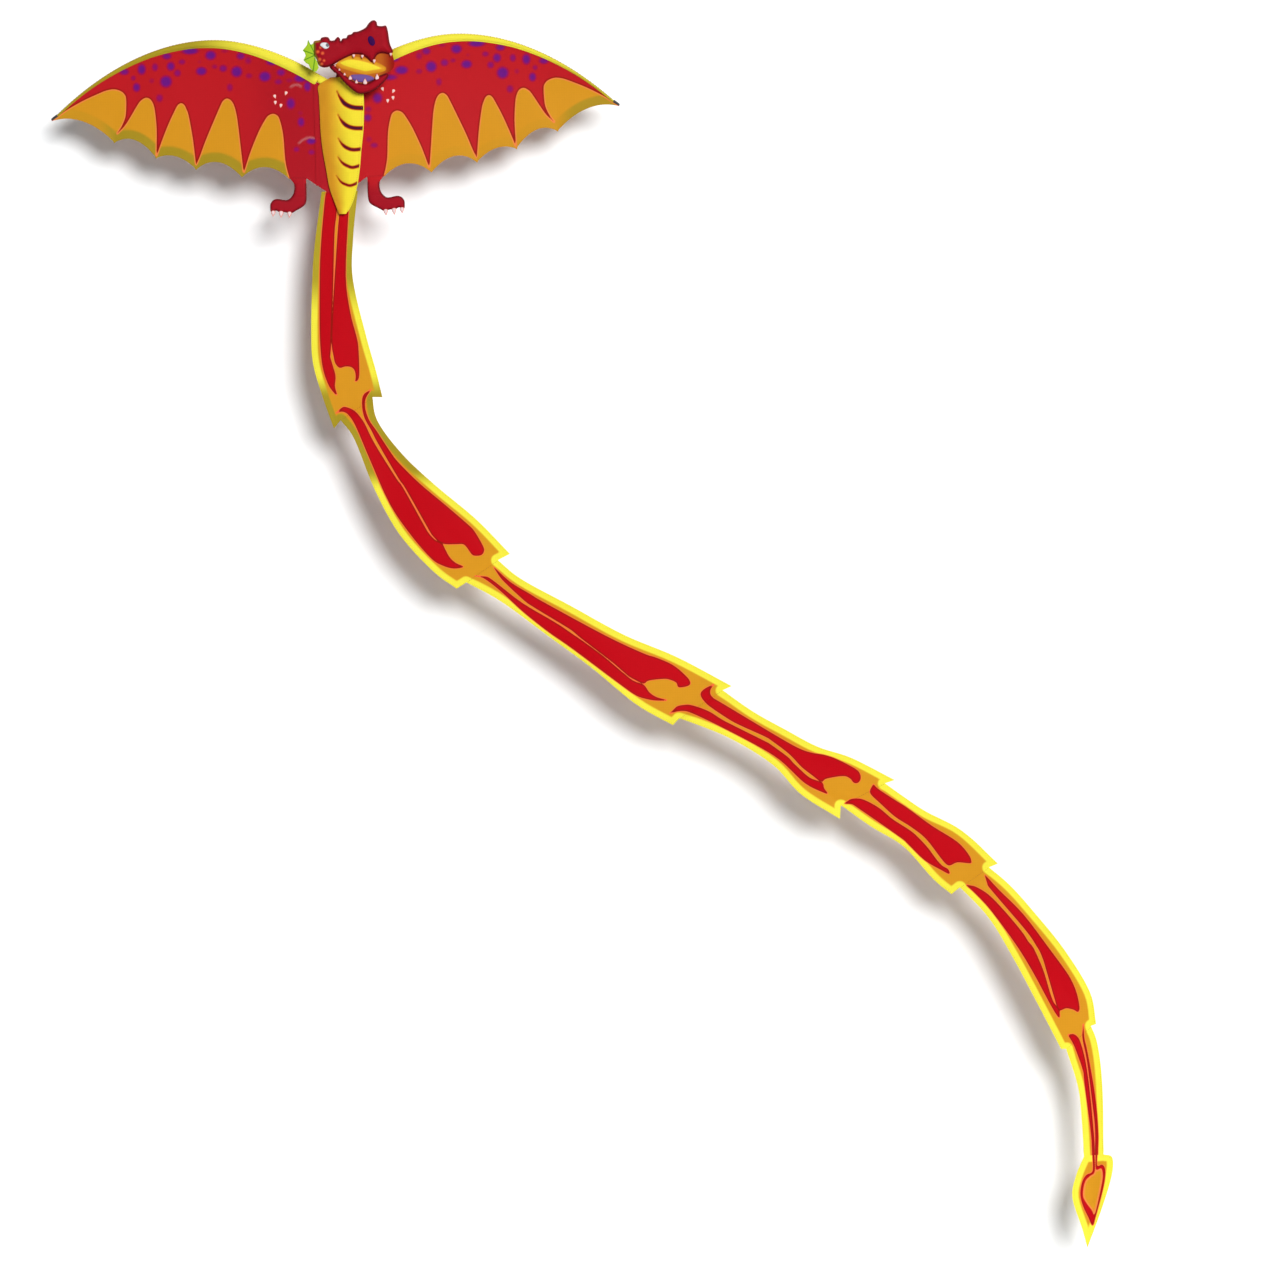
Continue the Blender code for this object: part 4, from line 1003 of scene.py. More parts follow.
def sleeve_colours(tree, dye):
    # Olive where the olive mark is set: painted shade and shadow on the sleeves; on the tail's border part print and
    # part painted shade.
    return blend_colours(tree, mark(tree, "olive"), dye.yellow, dye.olive)


def tail_colours(tree, dye):
    ground = turn_over(tree, "edge", 0.0130, 0.0180, sleeve_colours(tree, dye), dye.membrane)
    return printed(tree, mark(tree, "lobe"), ground, dye.vein, dye.tail_rim, dye.tail_red, 0.0026, 0.0040)


def tip_colours(tree, dye):
    red = tail_colours(tree, dye)
    core = printed(tree, mark(tree, "core"), red, dye.tail_rim, dye.rim_coral, dye.membrane, 0.0020, 0.0060)
    return turn_over(tree, "core", -0.0010, 0.0010, red, core)


def belly_colours(tree, dye):
    # Painted shade: the shaded orange at the left seam turns to the bright yellow at the ridge.
    ground = blend_colours(tree, mark(tree, "across"), dye.belly_shade, dye.belly)
    return printed(tree, mark(tree, "rung"), ground, dye.belly_shade, dye.rim_brown, dye.rung, 0.0025, 0.0030)


def head_colours(tree, dye):
    # Painted shade: darker red where the stuffed cloth rounds off to its seam.
    red = turn_over(tree, "edge", 0.0005, 0.0075, dye.head_rim, dye.head)
    red = blend_colours(tree, mark(tree, "ochre"), red, dye.olive)
    return blend_colours(tree, mark(tree, "cheek"), red, dye.vein)


def leg_colours(tree, dye):
    # Painted shade: the leg turns deeper red towards its foot, and to the head rim's darker red at its seam.
    red = blend_colours(tree, mark(tree, "near"), dye.wing_red, dye.shade_red)
    return turn_over(tree, "edge", 0.0005, 0.0070, dye.head_rim, red)


def mouth_colours(tree, dye):
    # Painted shade: the lining darkens to brown towards the mouth's far corner at its right end.
    fade = blend_colours(tree, mark(tree, "deep"), dye.mouth, dye.rim_brown)
    return printed(tree, mark(tree, "palate"), fade, dye.membrane, dye.belly_shade, dye.belly, 0.006, 0.006)


def frill_colours(tree, dye):
    return turn_over(tree, "rib", 0.0006, 0.0020, dye.rib, dye.frill)


def eye_colours(tree, dye):
    white = turn_over(tree, "edge", 0.0, 0.0020, dye.head_rim, (0.9, 0.9, 0.9))
    return turn_over(tree, "pupil", 0.2, 0.8, white, (0.16, 0.16, 0.18))


def claw_colours(tree, dye):
    return turn_over(tree, "edge", 0.0, 0.0020, dye.vein, dye.claw)


def make_finishes():
    """Every material the kite's pieces use."""
    make_weave_group()
    make_printed_edge_group()
    make_wear_group()
    cloth_finish("wing_print", wing_colours)
    cloth_finish("sleeve_cloth", sleeve_colours, mottle=0.05)
    cloth_finish("tail_print", tail_colours)
    cloth_finish("tip_print", tip_colours)
    cloth_finish("belly_print", belly_colours, mottle=0.05)
    cloth_finish("head_cloth", head_colours, roughness=0.60, sheen=0.02, mottle=0.12)
    cloth_finish("leg_cloth", leg_colours, roughness=0.58, mottle=0.10)
    cloth_finish("mouth_cloth", mouth_colours, mottle=0.10)
    cloth_finish("frill_cloth", frill_colours, roughness=0.60, mottle=0.15)
    cloth_finish("eye_cloth", eye_colours, roughness=0.30, sheen=0.0, mottle=0.02)
    cloth_finish("claw_cloth", claw_colours, roughness=0.45, mottle=0.05)
    cloth_finish("head_piping", lambda tree, dye: dye.head, roughness=0.60, mottle=0.12)
    cloth_finish("tongue_cloth", lambda tree, dye: dye.gum, roughness=0.55, mottle=0.15)
    cloth_finish("nostril_cloth", lambda tree, dye: dye.nostril, roughness=0.60, mottle=0.20)
    cloth_finish("webbing", lambda tree, dye: dye.tape, roughness=0.75, thread=0.0012, rib=0.0024, relief=0.8)
    cloth_finish("yellow_thread", lambda tree, dye: dye.olive, roughness=0.55, thread=0.0005, rib=0.003)
    cloth_finish("red_thread", lambda tree, dye: dye.head_rim, roughness=0.55, thread=0.0005, rib=0.003)
    hard_finish("rod_black", (0.018, 0.018, 0.020), 0.38, scale=300.0)
    hard_finish("moulded_black", (0.028, 0.028, 0.030), 0.52, relief=0.35)
    hard_finish("vinyl_tube", (0.035, 0.035, 0.038), 0.45, scale=90.0)
    hard_finish("eyelet_brass", (0.78, 0.57, 0.24), 0.32, metallic=1.0, scale=220.0, dust=-0.2)


# ---- wings


def wing_stations(step):
    knots = [FOLD_X + SEAM_GAP, CROTCH_X, *[x for x, _ in CUSPS[:-1]], SLEEVE_END_X, WING_END_X]
    out = []
    for a, b in zip(knots, knots[1:]):
        out += list(np.linspace(a, b, max(1, round((b - a) / step)), endpoint=False))
    return np.array(out + [knots[-1]])


def wing_grid(side):
    """The sail from its front edge, inside the sleeve's seam, down to the hem."""
    sizes = bpy.context.scene.kite_sizes
    xs = wing_stations(sizes.grid)
    shares = shares_of(66)
    top = edge_height(xs) - (sleeve_width(xs) - 0.0015) * np.hypot(1.0, edge_slope(xs))
    low = hem_height(xs)
    top = np.maximum(top, low + 0.0006)
    x = np.broadcast_to(xs, (len(shares), len(xs)))
    z = top + (low - top) * shares[:, None]
    y = sail_depth(x, shares[:, None])
    return np.stack([side * x, y, z], axis=-1)


def spot_strength(flat, spots):
    """How strongly the dye of the nearest spot shows at each point."""
    best = np.zeros(len(flat))
    for x, z, wide, high, strength in spots:
        away = np.hypot((flat[:, 0] - x) / wide, (flat[:, 1] - z) / high)
        best = np.maximum(best, strength * (1.0 - ease(away, 0.35, 1.60)))
    return best


def inboard_shade_share(x):
    """How much of the deeper red, a painted shade, there is: only on the left, close to the body."""
    return 0.6 * ease(-x, -0.030, 0.030) * (1.0 - ease(-x, 0.10, 0.26))


def wing_marks(grid, side):
    flat = flat_points(grid) * (side, 1)
    skin = np.full(len(flat), -1.0)
    for outline in MEMBRANES:
        skin = np.maximum(skin, signed(flat, smooth_line(outline, 5)))
    # Painted shade: an olive band along the hem, strongest inboard on the left wing and on the right wing's outer
    # part.
    above = hem_distance(flat)
    outer = ease(flat[:, 0], 0.535, 0.590)
    strength = 0.12 + 0.63 * outer if side > 0 else 0.90 - 0.65 * outer
    olive = strength * (1.0 - ease(above, 0.0200, 0.0275))
    glint = [distance(flat, smooth_line(line, 4)) for line in GLINTS]
    return {
        "membrane": skin,
        "glint": 0.16 * (1.0 - ease(np.min(glint, axis=0), 0.0006, 0.0040)) * (side < 0),
        "spot": spot_strength(flat, OUTER_SPOTS + INNER_SPOTS[side]),
        "olive": olive,
        "near": inboard_shade_share(side * flat[:, 0]),
    }


def draped_wing(side):
    grid = wing_grid(side)
    rows, cols = grid.shape[:2]
    held = np.zeros((rows, cols), bool)
    held[0, :] = True
    held[:, 0] = True
    held[:, -1] = True
    x = np.abs(grid[..., 0])
    held[-1, :] = x[-1, :] <= CUSPS[0][0]
    for cusp, _ in CUSPS:
        held[-1, np.argmin(np.abs(x[-1] - cusp))] = True
    along = np.clip((x - FOLD_X) / (HALF_SPAN - FOLD_X), 0.0, 1.0)
    middle = np.sin(math.pi * along) * np.sin(math.pi * shares_of(rows)[:, None])
    forward = np.interp(x, (0.10, 0.22), (0.0012, 0.0070))
    backward = 0.0006 + 0.55 * SAIL_CAMBER * middle
    grid[..., 1] -= 0.55 * SAIL_CAMBER * middle
    slack = bpy.context.scene.kite_sizes.slack
    return drape(grid, held, (0.0, 3.0, -1.5), slack, forward, backward)


def make_wing(name, side):
    sizes = bpy.context.scene.kite_sizes
    body = f"wing_{name}"
    grid = draped_wing(side)
    above = hem_distance(flat_points(grid) * (side, 1)).reshape(grid.shape[:2])
    sail = sheet_piece(f"{name}_wing_sail_cloth", grid, hemmed(above), "wing_print", wing_marks(grid, side))
    fasten(sail, body, "wing_red", f"{name}_wing_sail")
    hem = hem_line(grid, sizes.hem * 0.7)
    lap = grid[2] + (grid[4] - grid[2]) * 0.2
    sewing = sewn(f"{name}_wing_hem", [hem], "yellow_thread", body, "wing_red", sizes.cloth * 0.5)
    folds = sewn(f"{name}_wing_front", [lap[4:-8]], "red_thread", body, "wing_red")
    return grid


def hem_line(grid, inset):
    """The line on the sail at a distance above the scallops."""
    x = np.abs(grid[-1, :, 0])
    strips = grid.swapaxes(0, 1)[(x >= CUSPS[0][0] + 0.004) & (x <= SLEEVE_END_X)]
    heights = strips[:, -1, 2] + inset * 1.25
    order = np.arange(strips.shape[1])
    return between(strips, np.array([np.interp(-z, -strip[:, 2], order) for z, strip in zip(heights, strips)]))


def between(strips, place):
    """The points at a fractional place along each strip of points."""
    low = np.minimum(np.asarray(place).astype(int), strips.shape[1] - 2)
    part = (place - low)[:, None]
    rows = np.arange(len(strips))
    return strips[rows, low] * (1 - part) + strips[rows, low + 1] * part


def sleeve_grid(side, start_x, count=150):
    """The leading edge's pocket: one strip of cloth folded over the spar, its two edges sewn together."""
    stations = np.linspace(start_x, SLEEVE_END_X + 0.004, count)
    around = shares_of(29)
    rows = []
    for number, x in enumerate(stations):
        width = float(sleeve_width(x))
        flange = float(np.interp(x, (0.45, 0.65), (0.0025, 0.0006)))
        along = Vector((1.0, float(edge_slope(x)))).normalized()
        across = np.array((-along.y, along.x))
        middle = np.array((x, float(edge_height(x)))) - across * (width / 2)
        depth = max(0.0052, SLEEVE_DEPTH * min(1.0, width / 0.016))
        ripple = 1.0 + 0.05 * math.sin(number * 1.9) * math.sin(number * 0.37)
        row = []
        for share in around:
            angle = 2 * math.pi * share
            w = -width / 2 * math.cos(angle)
            lean = abs(math.sin(angle)) ** 0.8 * (1 if share < 0.5 else -1)
            d = -depth / 2 * lean * ripple
            if share in (0.0, 1.0):
                w -= flange
                d = -0.0006 if share == 0.0 else 0.0006
            spot = middle + across * w
            row.append((side * spot[0], float(SAIL_Y + bow(x)) + d, spot[1]))
        rows.append(row)
    return np.array(rows)


def sleeve_painted_shade(x, side):
    """Share of olive, painted shade, on the sleeve: it turns earlier on the left wing, and on the right wing it also
    paints the head's shadow at the sleeve's inner end.
    """
    if side < 0:
        return 0.15 * ease(x, 0.16, 0.24) + 0.75 * ease(x, 0.22, 0.36)
    return 0.55 * (1.0 - ease(x, 0.140, 0.175)) + 0.10 * ease(x, 0.34, 0.50) + 0.45 * ease(x, 0.48, 0.66)


def fold_place(name, side, before, after):
    """The place of the wing's fold for a piece: the body and the wing, and a point on each side of the fold."""
    return ("frame", f"wing_{name}", (side * (FOLD_X - before), SAIL_Y, 0.0), (side * (FOLD_X + after), SAIL_Y, 0.0))


def make_sleeve(name, side):
    sizes = bpy.context.scene.kite_sizes
    grid = sleeve_grid(side, FOLD_X - 0.012)
    x = np.abs(grid[..., 0])
    sleeve = sheet_piece(f"{name}_wing_edge_sleeve_cloth", grid, sizes.cloth, "sleeve_cloth",
                         {"olive": sleeve_painted_shade(x, side)})
    body = fold_place(name, side, 0.010, 0.006)
    fasten(sleeve, body, "edge_yellow", f"{name}_wing_edge_sleeve")
    proud = (0, -0.0003, 0)
    runs = [grid[:, 10] + proud, grid[:, 18] - proud]
    sewing = sewn(f"{name}_sleeve", runs, "yellow_thread", body, "edge_yellow")
    rim = sewn(f"{name}_sleeve_edge", [grid[:, 13] + proud], "red_thread", body, "edge_yellow", weight=1.6)
    flange = (grid[:, 0] + grid[:, -1]) / 2 + (grid[:, 1] - grid[:, 0]) * 0.3 * (1, 0, 1)
    closing = sewn(f"{name}_sleeve_closing", [flange], "yellow_thread", body, "edge_yellow", sizes.cloth)


def claw_outline(length, half):
    """A claw pointing down from the origin: a rounded root and a curved point."""
    return np.array(((-half, 0.0), (-half * 0.95, -length * 0.35), (-half * 0.45, -length * 0.75),
                     (0.0, -length), (half * 0.40, -length * 0.75), (half * 0.95, -length * 0.35), (half, 0.0),
                     (half * 0.6, length * 0.12), (0.0, length * 0.16), (-half * 0.6, length * 0.12)))


def turned(outline, degrees, at):
    angle = math.radians(degrees)
    turn = np.array(((math.cos(angle), -math.sin(angle)), (math.sin(angle), math.cos(angle))))
    return outline @ turn.T + np.array(at)


def make_hand_claws(name, side, grid):
    """Small stuffed claws sewn on each wing where the dragon's hand is printed."""
    body = f"wing_{name}"
    for number, (x, z, lean) in enumerate(HAND_CLAWS[side], 1):
        column = int(np.argmin(np.abs(np.abs(grid[0, :, 0]) - x)))
        y = float(np.interp(-z, -grid[:, column, 2], grid[:, column, 1]))
        loop = smooth_loop(turned(claw_outline(0.0100, 0.0040), lean, (side * x, z + 0.0050)), 2)
        claw = pillow(f"{name}_hand_claw_{number}", loop, 0.0012, y - 0.0003, "claw_cloth",
                      puffed(0.0030, 0.0011), puffed(0.0030, 0.0))
        fasten(claw, body, "tooth_white")


# ---- body, legs and folds


def make_body():
    """The cloth between the wings, the nose patch, the spine's pockets and the taped folds."""
    sizes = bpy.context.scene.kite_sizes
    half = FOLD_X - SEAM_GAP
    xs = np.linspace(-half, half, 26)
    top = np.interp(np.abs(xs), (0.0, NECK_HALF, half), (NECK_TOP, NECK_TOP, SHOULDER_TOP))
    low = np.where(np.abs(xs) < BODY_FOOT[0], BODY_FOOT[1], hem_height(np.abs(xs)))
    shares = shares_of(70)[:, None]
    z = top + (low - top) * shares
    x = np.broadcast_to(xs, z.shape)
    grid = np.stack([x, np.full(z.shape, SAIL_Y), z], axis=-1)
    held = np.ones(z.shape, bool)
    held[1:-1, 1:-1] = False
    grid = drape(grid, held, (0.0, 2.0, -1.0), sizes.slack, 0.001, 0.001)
    flat = np.column_stack([np.abs(x).ravel(), z.ravel()])
    panel = sheet_piece("body_panel_cloth", grid, sizes.cloth, "wing_print", {
        "membrane": np.full(len(flat), -1.0), "near": inboard_shade_share(x).ravel(), "olive": np.zeros(len(flat)),
        "spot": spot_strength(flat, INNER_SPOTS[-1]),
    })
    fasten(panel, "frame", "wing_red", "body_panel")
    make_nose_patch()
    make_pockets()
    for name, side in SIDES:
        make_fold_tape(name, side)


def make_nose_patch():
    """A padded yellow yoke that joins the two sleeves over the spine's top."""
    half = FOLD_X - 0.002
    upper = [(-half, 0.0985), (-0.030, 0.0905), (-0.014, 0.0820), (0.0, 0.0790), (0.014, 0.0820), (0.030, 0.0905),
             (half, 0.0985)]
    lower = [(half, 0.0765), (0.030, 0.0670), (NECK_HALF, 0.0620), (0.0, 0.0600), (-NECK_HALF, 0.0620),
             (-0.030, 0.0670), (-half, 0.0765)]
    loop = np.vstack([smooth_line(upper, 4), smooth_line(lower, 4)])
    patch = pillow("nose_patch_cloth", loop, 0.0028, SAIL_Y, "sleeve_cloth", puffed(0.010, 0.0040, 0.0004),
                   puffed(0.010, 0.0034, 0.0004))
    fasten(patch, "frame", "edge_yellow", "nose_patch")
    seams = [[(x, SAIL_Y, z + shift) for x, z in smooth_line(line, 4)]
             for line, shift in ((upper, -0.004), (lower, 0.004))]
    sewn("nose_patch", seams, "yellow_thread", "frame", "edge_yellow", 0.0026)


def make_pockets():
    """Webbing patches that hold the spine's ends, each with a boxed and crossed seam."""
    for name, low, high in (("spine_top_pocket", 0.040, 0.062), ("spine_bottom_pocket", -0.190, -0.168)):
        x, z = np.meshgrid(np.linspace(-0.012, 0.012, 19), np.linspace(low, high, 17))
        y = SAIL_Y + 0.0008 + 0.0110 * np.exp(-(x / 0.0042) ** 2)
        grid = np.stack([x, y, z], axis=-1)
        pocket = sheet_piece(f"{name}_webbing", grid, 0.0009, "webbing")
        fasten(pocket, "frame", "tape_black", name)
        runs = [[(px, SAIL_Y + 0.0008, pz)
                 for px, pz in crossed_box(side * 0.0075, side * 0.0112, low + 0.002, high - 0.002)]
                for _, side in SIDES]
        sewing = sewn(name, runs, "yellow_thread", "frame", "tape_black", 0.0006)


def make_fold_tape(name, side):
    """A folded binding over the line where the wing meets the body."""
    sizes = bpy.context.scene.kite_sizes
    zs = np.linspace(0.0725, -0.1785, 68)
    xs = FOLD_X + np.linspace(-0.0060, 0.0060, 13)
    x, z = np.meshgrid(xs, zs)
    where = fold_place(name, side, 0.002, 0.002)
    marks = {"membrane": np.full(x.shape, -1.0), "near": inboard_shade_share(side * x), "olive": np.zeros(x.shape),
             "spot": spot_strength(np.column_stack([x.ravel(), z.ravel()]), INNER_SPOTS[side]).reshape(x.shape)}
    for label, lift, thick in (("tape", 0.0010, 0.0006), ("cover", -0.0010, 0.0005)):
        grid = np.stack([side * x, np.full(x.shape, SAIL_Y + lift), z], axis=-1)
        fasten(sheet_piece(f"{name}_fold_{label}", grid, thick, "wing_print", marks), where, "wing_red")
    for number, shift in enumerate((-0.0045, 0.0045), 1):
        line = [(side * (FOLD_X + shift), SAIL_Y, zz) for zz in zs]
        sewing = stitches(f"{name}_fold_stitches_{number}", [line], "red_thread", reach=sizes.cloth * 2.2)
        fasten(sewing, f"wing_{name}" if shift > 0 else "frame", "wing_red")


def make_leg(name, side):
    """A lightly stuffed leg with a rounded foot, and three stuffed claws."""
    sizes = bpy.context.scene.kite_sizes
    loop = smooth_loop([(side * x, z) for x, z in LEG], 3)
    puff = sizes.leg_puff

    def high(points, away):
        crease = 0.0007 * np.exp(-((points[:, 1] + 0.205) / 0.003) ** 2)
        return 0.0002 + dome(away, 0.011, puff) - crease

    # Painted shade: darker at the leg's seam, though not along its top, and deeper red towards the foot.
    def shade(points, away):
        start = float(inboard_shade_share(side * CROTCH_X))
        return {"edge": np.maximum(away, ease(points[:, 1], LEG_TOP - 0.016, LEG_TOP - 0.003) * 0.02),
                "near": start + (1.0 - start) * ease(-points[:, 1], 0.162, 0.208)}

    leg = pillow(f"{name}_leg_cloth", loop, 0.0026, SAIL_Y + 0.0028, "leg_cloth", high, marks=shade)
    body = f"leg_{name}"
    top = ("wing_" + name, body, (0.0, SAIL_Y, LEG_TOP + 0.001), (0.0, SAIL_Y, LEG_TOP - 0.012))
    fasten(leg, top, "wing_red", f"{name}_leg")
    for number, (x, z, half, length) in enumerate(TOE_CLAWS, 1):
        outline = smooth_loop(turned(claw_outline(length, half), 4 * side, (side * x, z)), 3)
        claw = pillow(f"{name}_toe_claw_{number}", outline, 0.0013, SAIL_Y + 0.0018, "claw_cloth",
                      puffed(0.004, 0.0022, 0.0002))
        fasten(claw, body, "tooth_white")
    line = smooth_line([(side * x, z) for x, z in ((0.079, -0.1580), (0.096, -0.1584), (0.112, -0.1580))], 4)
    run = [(x, SAIL_Y + 0.001, z) for x, z in line]
    sewn(f"{name}_leg", [run], "red_thread", f"wing_{name}", "wing_red", 0.0012)


# ---- belly


def keel_rows(count):
    """The belly's rows, closely spaced: height, left seam, ridge and depth."""
    return spaced(smooth_line(KEEL_ROWS, 6), count)


def rung_marks(flat):
    """How far inside the nearest band across the belly a point is. Each band widens to the right."""
    best = np.full(len(flat), -1.0)
    for rung, widest in zip(RUNGS, (0.0052, 0.0046, 0.0040, 0.0034, 0.0029)):
        line = smooth_line(rung, 6)
        half = 0.0008 + (widest - 0.0008) * ease(flat[:, 0], line[0, 0] - 0.002, line[0, 0] + 0.018)
        best = np.maximum(best, half - distance(flat, line))
    return best


def belly_grid():
    rows = keel_rows(112)
    shares = shares_of(44)
    z, left, ridge, depth = (rows[:, k][:, None] for k in range(4))
    x = left + (ridge - left) * shares
    y = KEEL_SEAM_Y - depth * np.sin(math.pi / 2 * shares)
    grid = np.stack([x, y, np.broadcast_to(z, x.shape)], axis=-1)
    rung = rung_marks(flat_points(grid)).reshape(x.shape)
    held = rung > -0.0015
    held[0] = held[-1] = True
    held[:, 0] = held[:, -1] = True
    grid = drape(grid, held, (0.0, -9.0, -1.0), 0.010, 0.0045, 0.0010, every=3)
    grid[..., 1] += 0.0011 * ease(rung, -0.0025, 0.0015) * np.sin(math.pi * shares) ** 0.5
    return grid, rung


def make_belly():
    sizes = bpy.context.scene.kite_sizes
    grid, rung = belly_grid()
    shares = shares_of(grid.shape[1])
    # The across mark paints the belly's shade, darkest at the left seam.
    across = ease(np.broadcast_to(shares, rung.shape), 0.10, 0.75)
    panel = sheet_piece("belly_left_panel_cloth", grid, sizes.cloth * 1.3, "belly_print",
                        {"rung": rung, "across": across})
    fasten(panel, KEEL_BLEND, "belly_yellow", "belly_left_panel")
    rows = keel_rows(112)[12:-6]
    z, left, ridge, depth = (rows[:, k] for k in range(4))
    start = np.column_stack([ridge - 0.0004, KEEL_SEAM_Y - depth + 0.0006, z])
    rear_x = np.minimum(KEEL_REAR_X, left + (ridge - left) * 0.6)
    end = np.column_stack([rear_x, KEEL_REAR_Y - depth * 0.12, z])
    shares = shares_of(18)[None, :, None]
    rear = start[:, None] + (end - start)[:, None] * shares
    rear[..., 1] += 0.0012 * np.sin(math.pi * shares[..., 0]) * np.sin(z * 90.0)[:, None]
    back = sheet_piece("belly_right_panel_cloth", rear, sizes.cloth, "belly_print",
                       {"rung": np.full(rear.shape[:2], -1.0), "across": np.full(rear.shape[:2], 0.6)})
    fasten(back, KEEL_BLEND, "belly_yellow", "belly_right_panel")
    piping = tube_piece("belly_ridge_piping", grid[2:-2, -1], 0.0011, "sleeve_cloth", 10)
    fasten(piping, KEEL_BLEND, "belly_yellow")
    runs = [grid[6:, 1], grid[2:-2, -3]]
    seams = sewn("belly_seam", runs, "yellow_thread", KEEL_BLEND, "belly_yellow", 0.0001)
    make_neck()
    make_tow_tab()


def make_neck():
    neck = pillow("neck_cloth", smooth_loop(NECK, 5), 0.0030, NECK_Y, "head_cloth", puffed(0.010, NECK_DEPTH))
    where = ("keel", "head", (0.020, NECK_Y, 0.088), (0.026, NECK_Y, 0.118))
    fasten(neck, where, "head_red", "neck")


def make_tow_tab():
    """The webbing tab behind the ridge, sewn to the rear panel, with its turned eyelet."""
    x0, y0, z0 = TOW
    tip = x0 + TAB_LENGTH
    corner = 0.004
    low, high = z0 - TAB_HALF, z0 + TAB_HALF
    outline = [(x0 - 0.004, low), (tip - corner, low), (tip, low + corner), (tip, high - corner),
               (tip - corner, high), (x0 - 0.004, high)]

    def level(points):
        return y0 + np.interp(np.array(points)[:, 0], (x0 - 0.004, x0 + 0.003), (-0.0030, 0.0))

    tab = pillow("tow_tab_webbing", spaced(outline + outline[:1], 73)[:-1], 0.0011, level, "webbing",
                 puffed(1.0, 0.0, TAB_THICK / 2), hole=((EYELET_X, z0), EYELET_BARREL))
    fasten(tab, "keel", "tape_black", "tow_tab")
    box = crossed_box(x0 - 0.002, x0 + 0.0035, low + 0.0015, high - 0.0015)
    run = [(x, y, z) for (x, z), y in zip(box, level(box))]
    sewn("tow_tab", [run], "yellow_thread", "keel", "tape_black", 0.0006)
    make_eyelet(y0, z0)


def make_eyelet(y, z):
    """A turned brass eyelet: two rolled flanges on a barrel."""
    face = 0.0020
    lip = 0.0012
    arc = [math.pi / 2 * k / 5 for k in range(6)]
    roll = (face - lip) / 2
    half = [(EYELET_BORE, 0.0)]
    half += [(EYELET_BORE + 0.0006 * (1 - math.cos(a)), face - 0.0006 + 0.0006 * math.sin(a)) for a in arc]
    half += [(EYELET_FLANGE - roll + roll * math.sin(a), face - roll + roll * math.cos(a)) for a in arc]
    half += [(EYELET_FLANGE - roll + roll * math.cos(a), face - roll - roll * math.sin(a)) for a in arc[1:]]
    half += [(EYELET_BARREL, lip), (EYELET_BARREL, 0.0)]
    profile = half[:-1] + [(r, -h) for r, h in reversed(half[1:-1])]
    points = [(EYELET_X + r * math.cos(angle), y + h, z + r * math.sin(angle))
              for angle in np.arange(41) * 2 * math.pi / 40 for r, h in profile]
    faces = ring_faces(41, len(profile))
    eyelet = mesh_piece("tow_eyelet_turned", points, faces, "eyelet_brass")
    fasten(eyelet, "keel", "eyelet_brass", "tow_eyelet")


# ---- head


def skull_height(points, away):
    """Height of the stuffed head: full in the middle, with a brow, a cheek and a snout that stand out."""
    puff = bpy.context.scene.kite_sizes.head_puff
    high = dome(away, 0.017, puff)
    for x, z, wide, tall, lift in (
        (-0.017, 0.166, 0.018, 0.012, 0.0012), (-0.016, 0.130, 0.020, 0.014, 0.0016),
        (0.096, 0.178, 0.024, 0.026, 0.0020), (0.118, 0.150, 0.018, 0.012, 0.0012),
        (0.040, 0.160, 0.020, 0.040, -0.0018),
    ):
        r = ((points[:, 0] - x) / wide) ** 2 + ((points[:, 1] - z) / tall) ** 2
        high = high + lift * np.exp(-r) * np.clip(away / 0.006, 0.0, 1.0)
    return high


def on_skull(points):
    """The head's front surface at flat points."""
    loop = smooth_loop(SKULL, 3)
    return HEAD_Y - skull_height(points, np.clip(signed(points, loop), 0.0, None))


def head_marks(points, away):
    ochre = (1.0 - ease(away, 0.002, 0.0065)) * (1.0 - ease(points[:, 0], -0.036, -0.026))
    return {"cheek": spot_strength(points, CHEEK_SPOTS), "ochre": ochre * 0.8}


def make_head():
    seam = smooth_loop(SKULL, 3)
    skull = pillow("head_shell_cloth", seam, 0.0022, HEAD_Y, "head_cloth", skull_height, marks=head_marks)
    fasten(skull, "head", "head_red", "head_shell")
    jaw = pillow("lower_jaw_cloth", smooth_loop(LOWER_JAW, 3), 0.0022, HEAD_Y, "head_cloth",
                 puffed(0.011, bpy.context.scene.kite_sizes.jaw_puff))
    fasten(jaw, "head", "head_red", "lower_jaw")
    make_mouth()
    make_eyes_and_nostrils()
    make_teeth()
    make_frill()
    piping = tube_piece("head_seam_piping", [(x, HEAD_Y, z) for x, z in seam], 0.0008, "head_piping", 8)
    fasten(piping, "head", "head_red")


def make_mouth():
    """The lining between the lips, with its arched roof, and the tongue."""
    palate = smooth_loop(PALATE, 3)

    # deep paints shade towards the mouth's far corner.
    def marks(points, away):
        return {"palate": signed(points, palate), "deep": ease(points[:, 0], 0.108, 0.148)}

    def arch(points, away):
        return 0.0004 + 0.0022 * ease(signed(points, palate), 0.0, 0.012)

    lining = pillow("mouth_lining_cloth", smooth_loop(MOUTH, 2), 0.0024, HEAD_Y, "mouth_cloth", arch, marks=marks)
    fasten(lining, "head", "mouth_orange", "mouth_lining")
    tongue = pillow("tongue_cloth", smooth_loop(TONGUE, 3), 0.0020, HEAD_Y, "tongue_cloth", puffed(0.006, 0.0042))
    fasten(tongue, "head", "mouth_orange")


def pupil_mark(points, away):
    return {"pupil": spot_strength(points, (PUPIL,))}


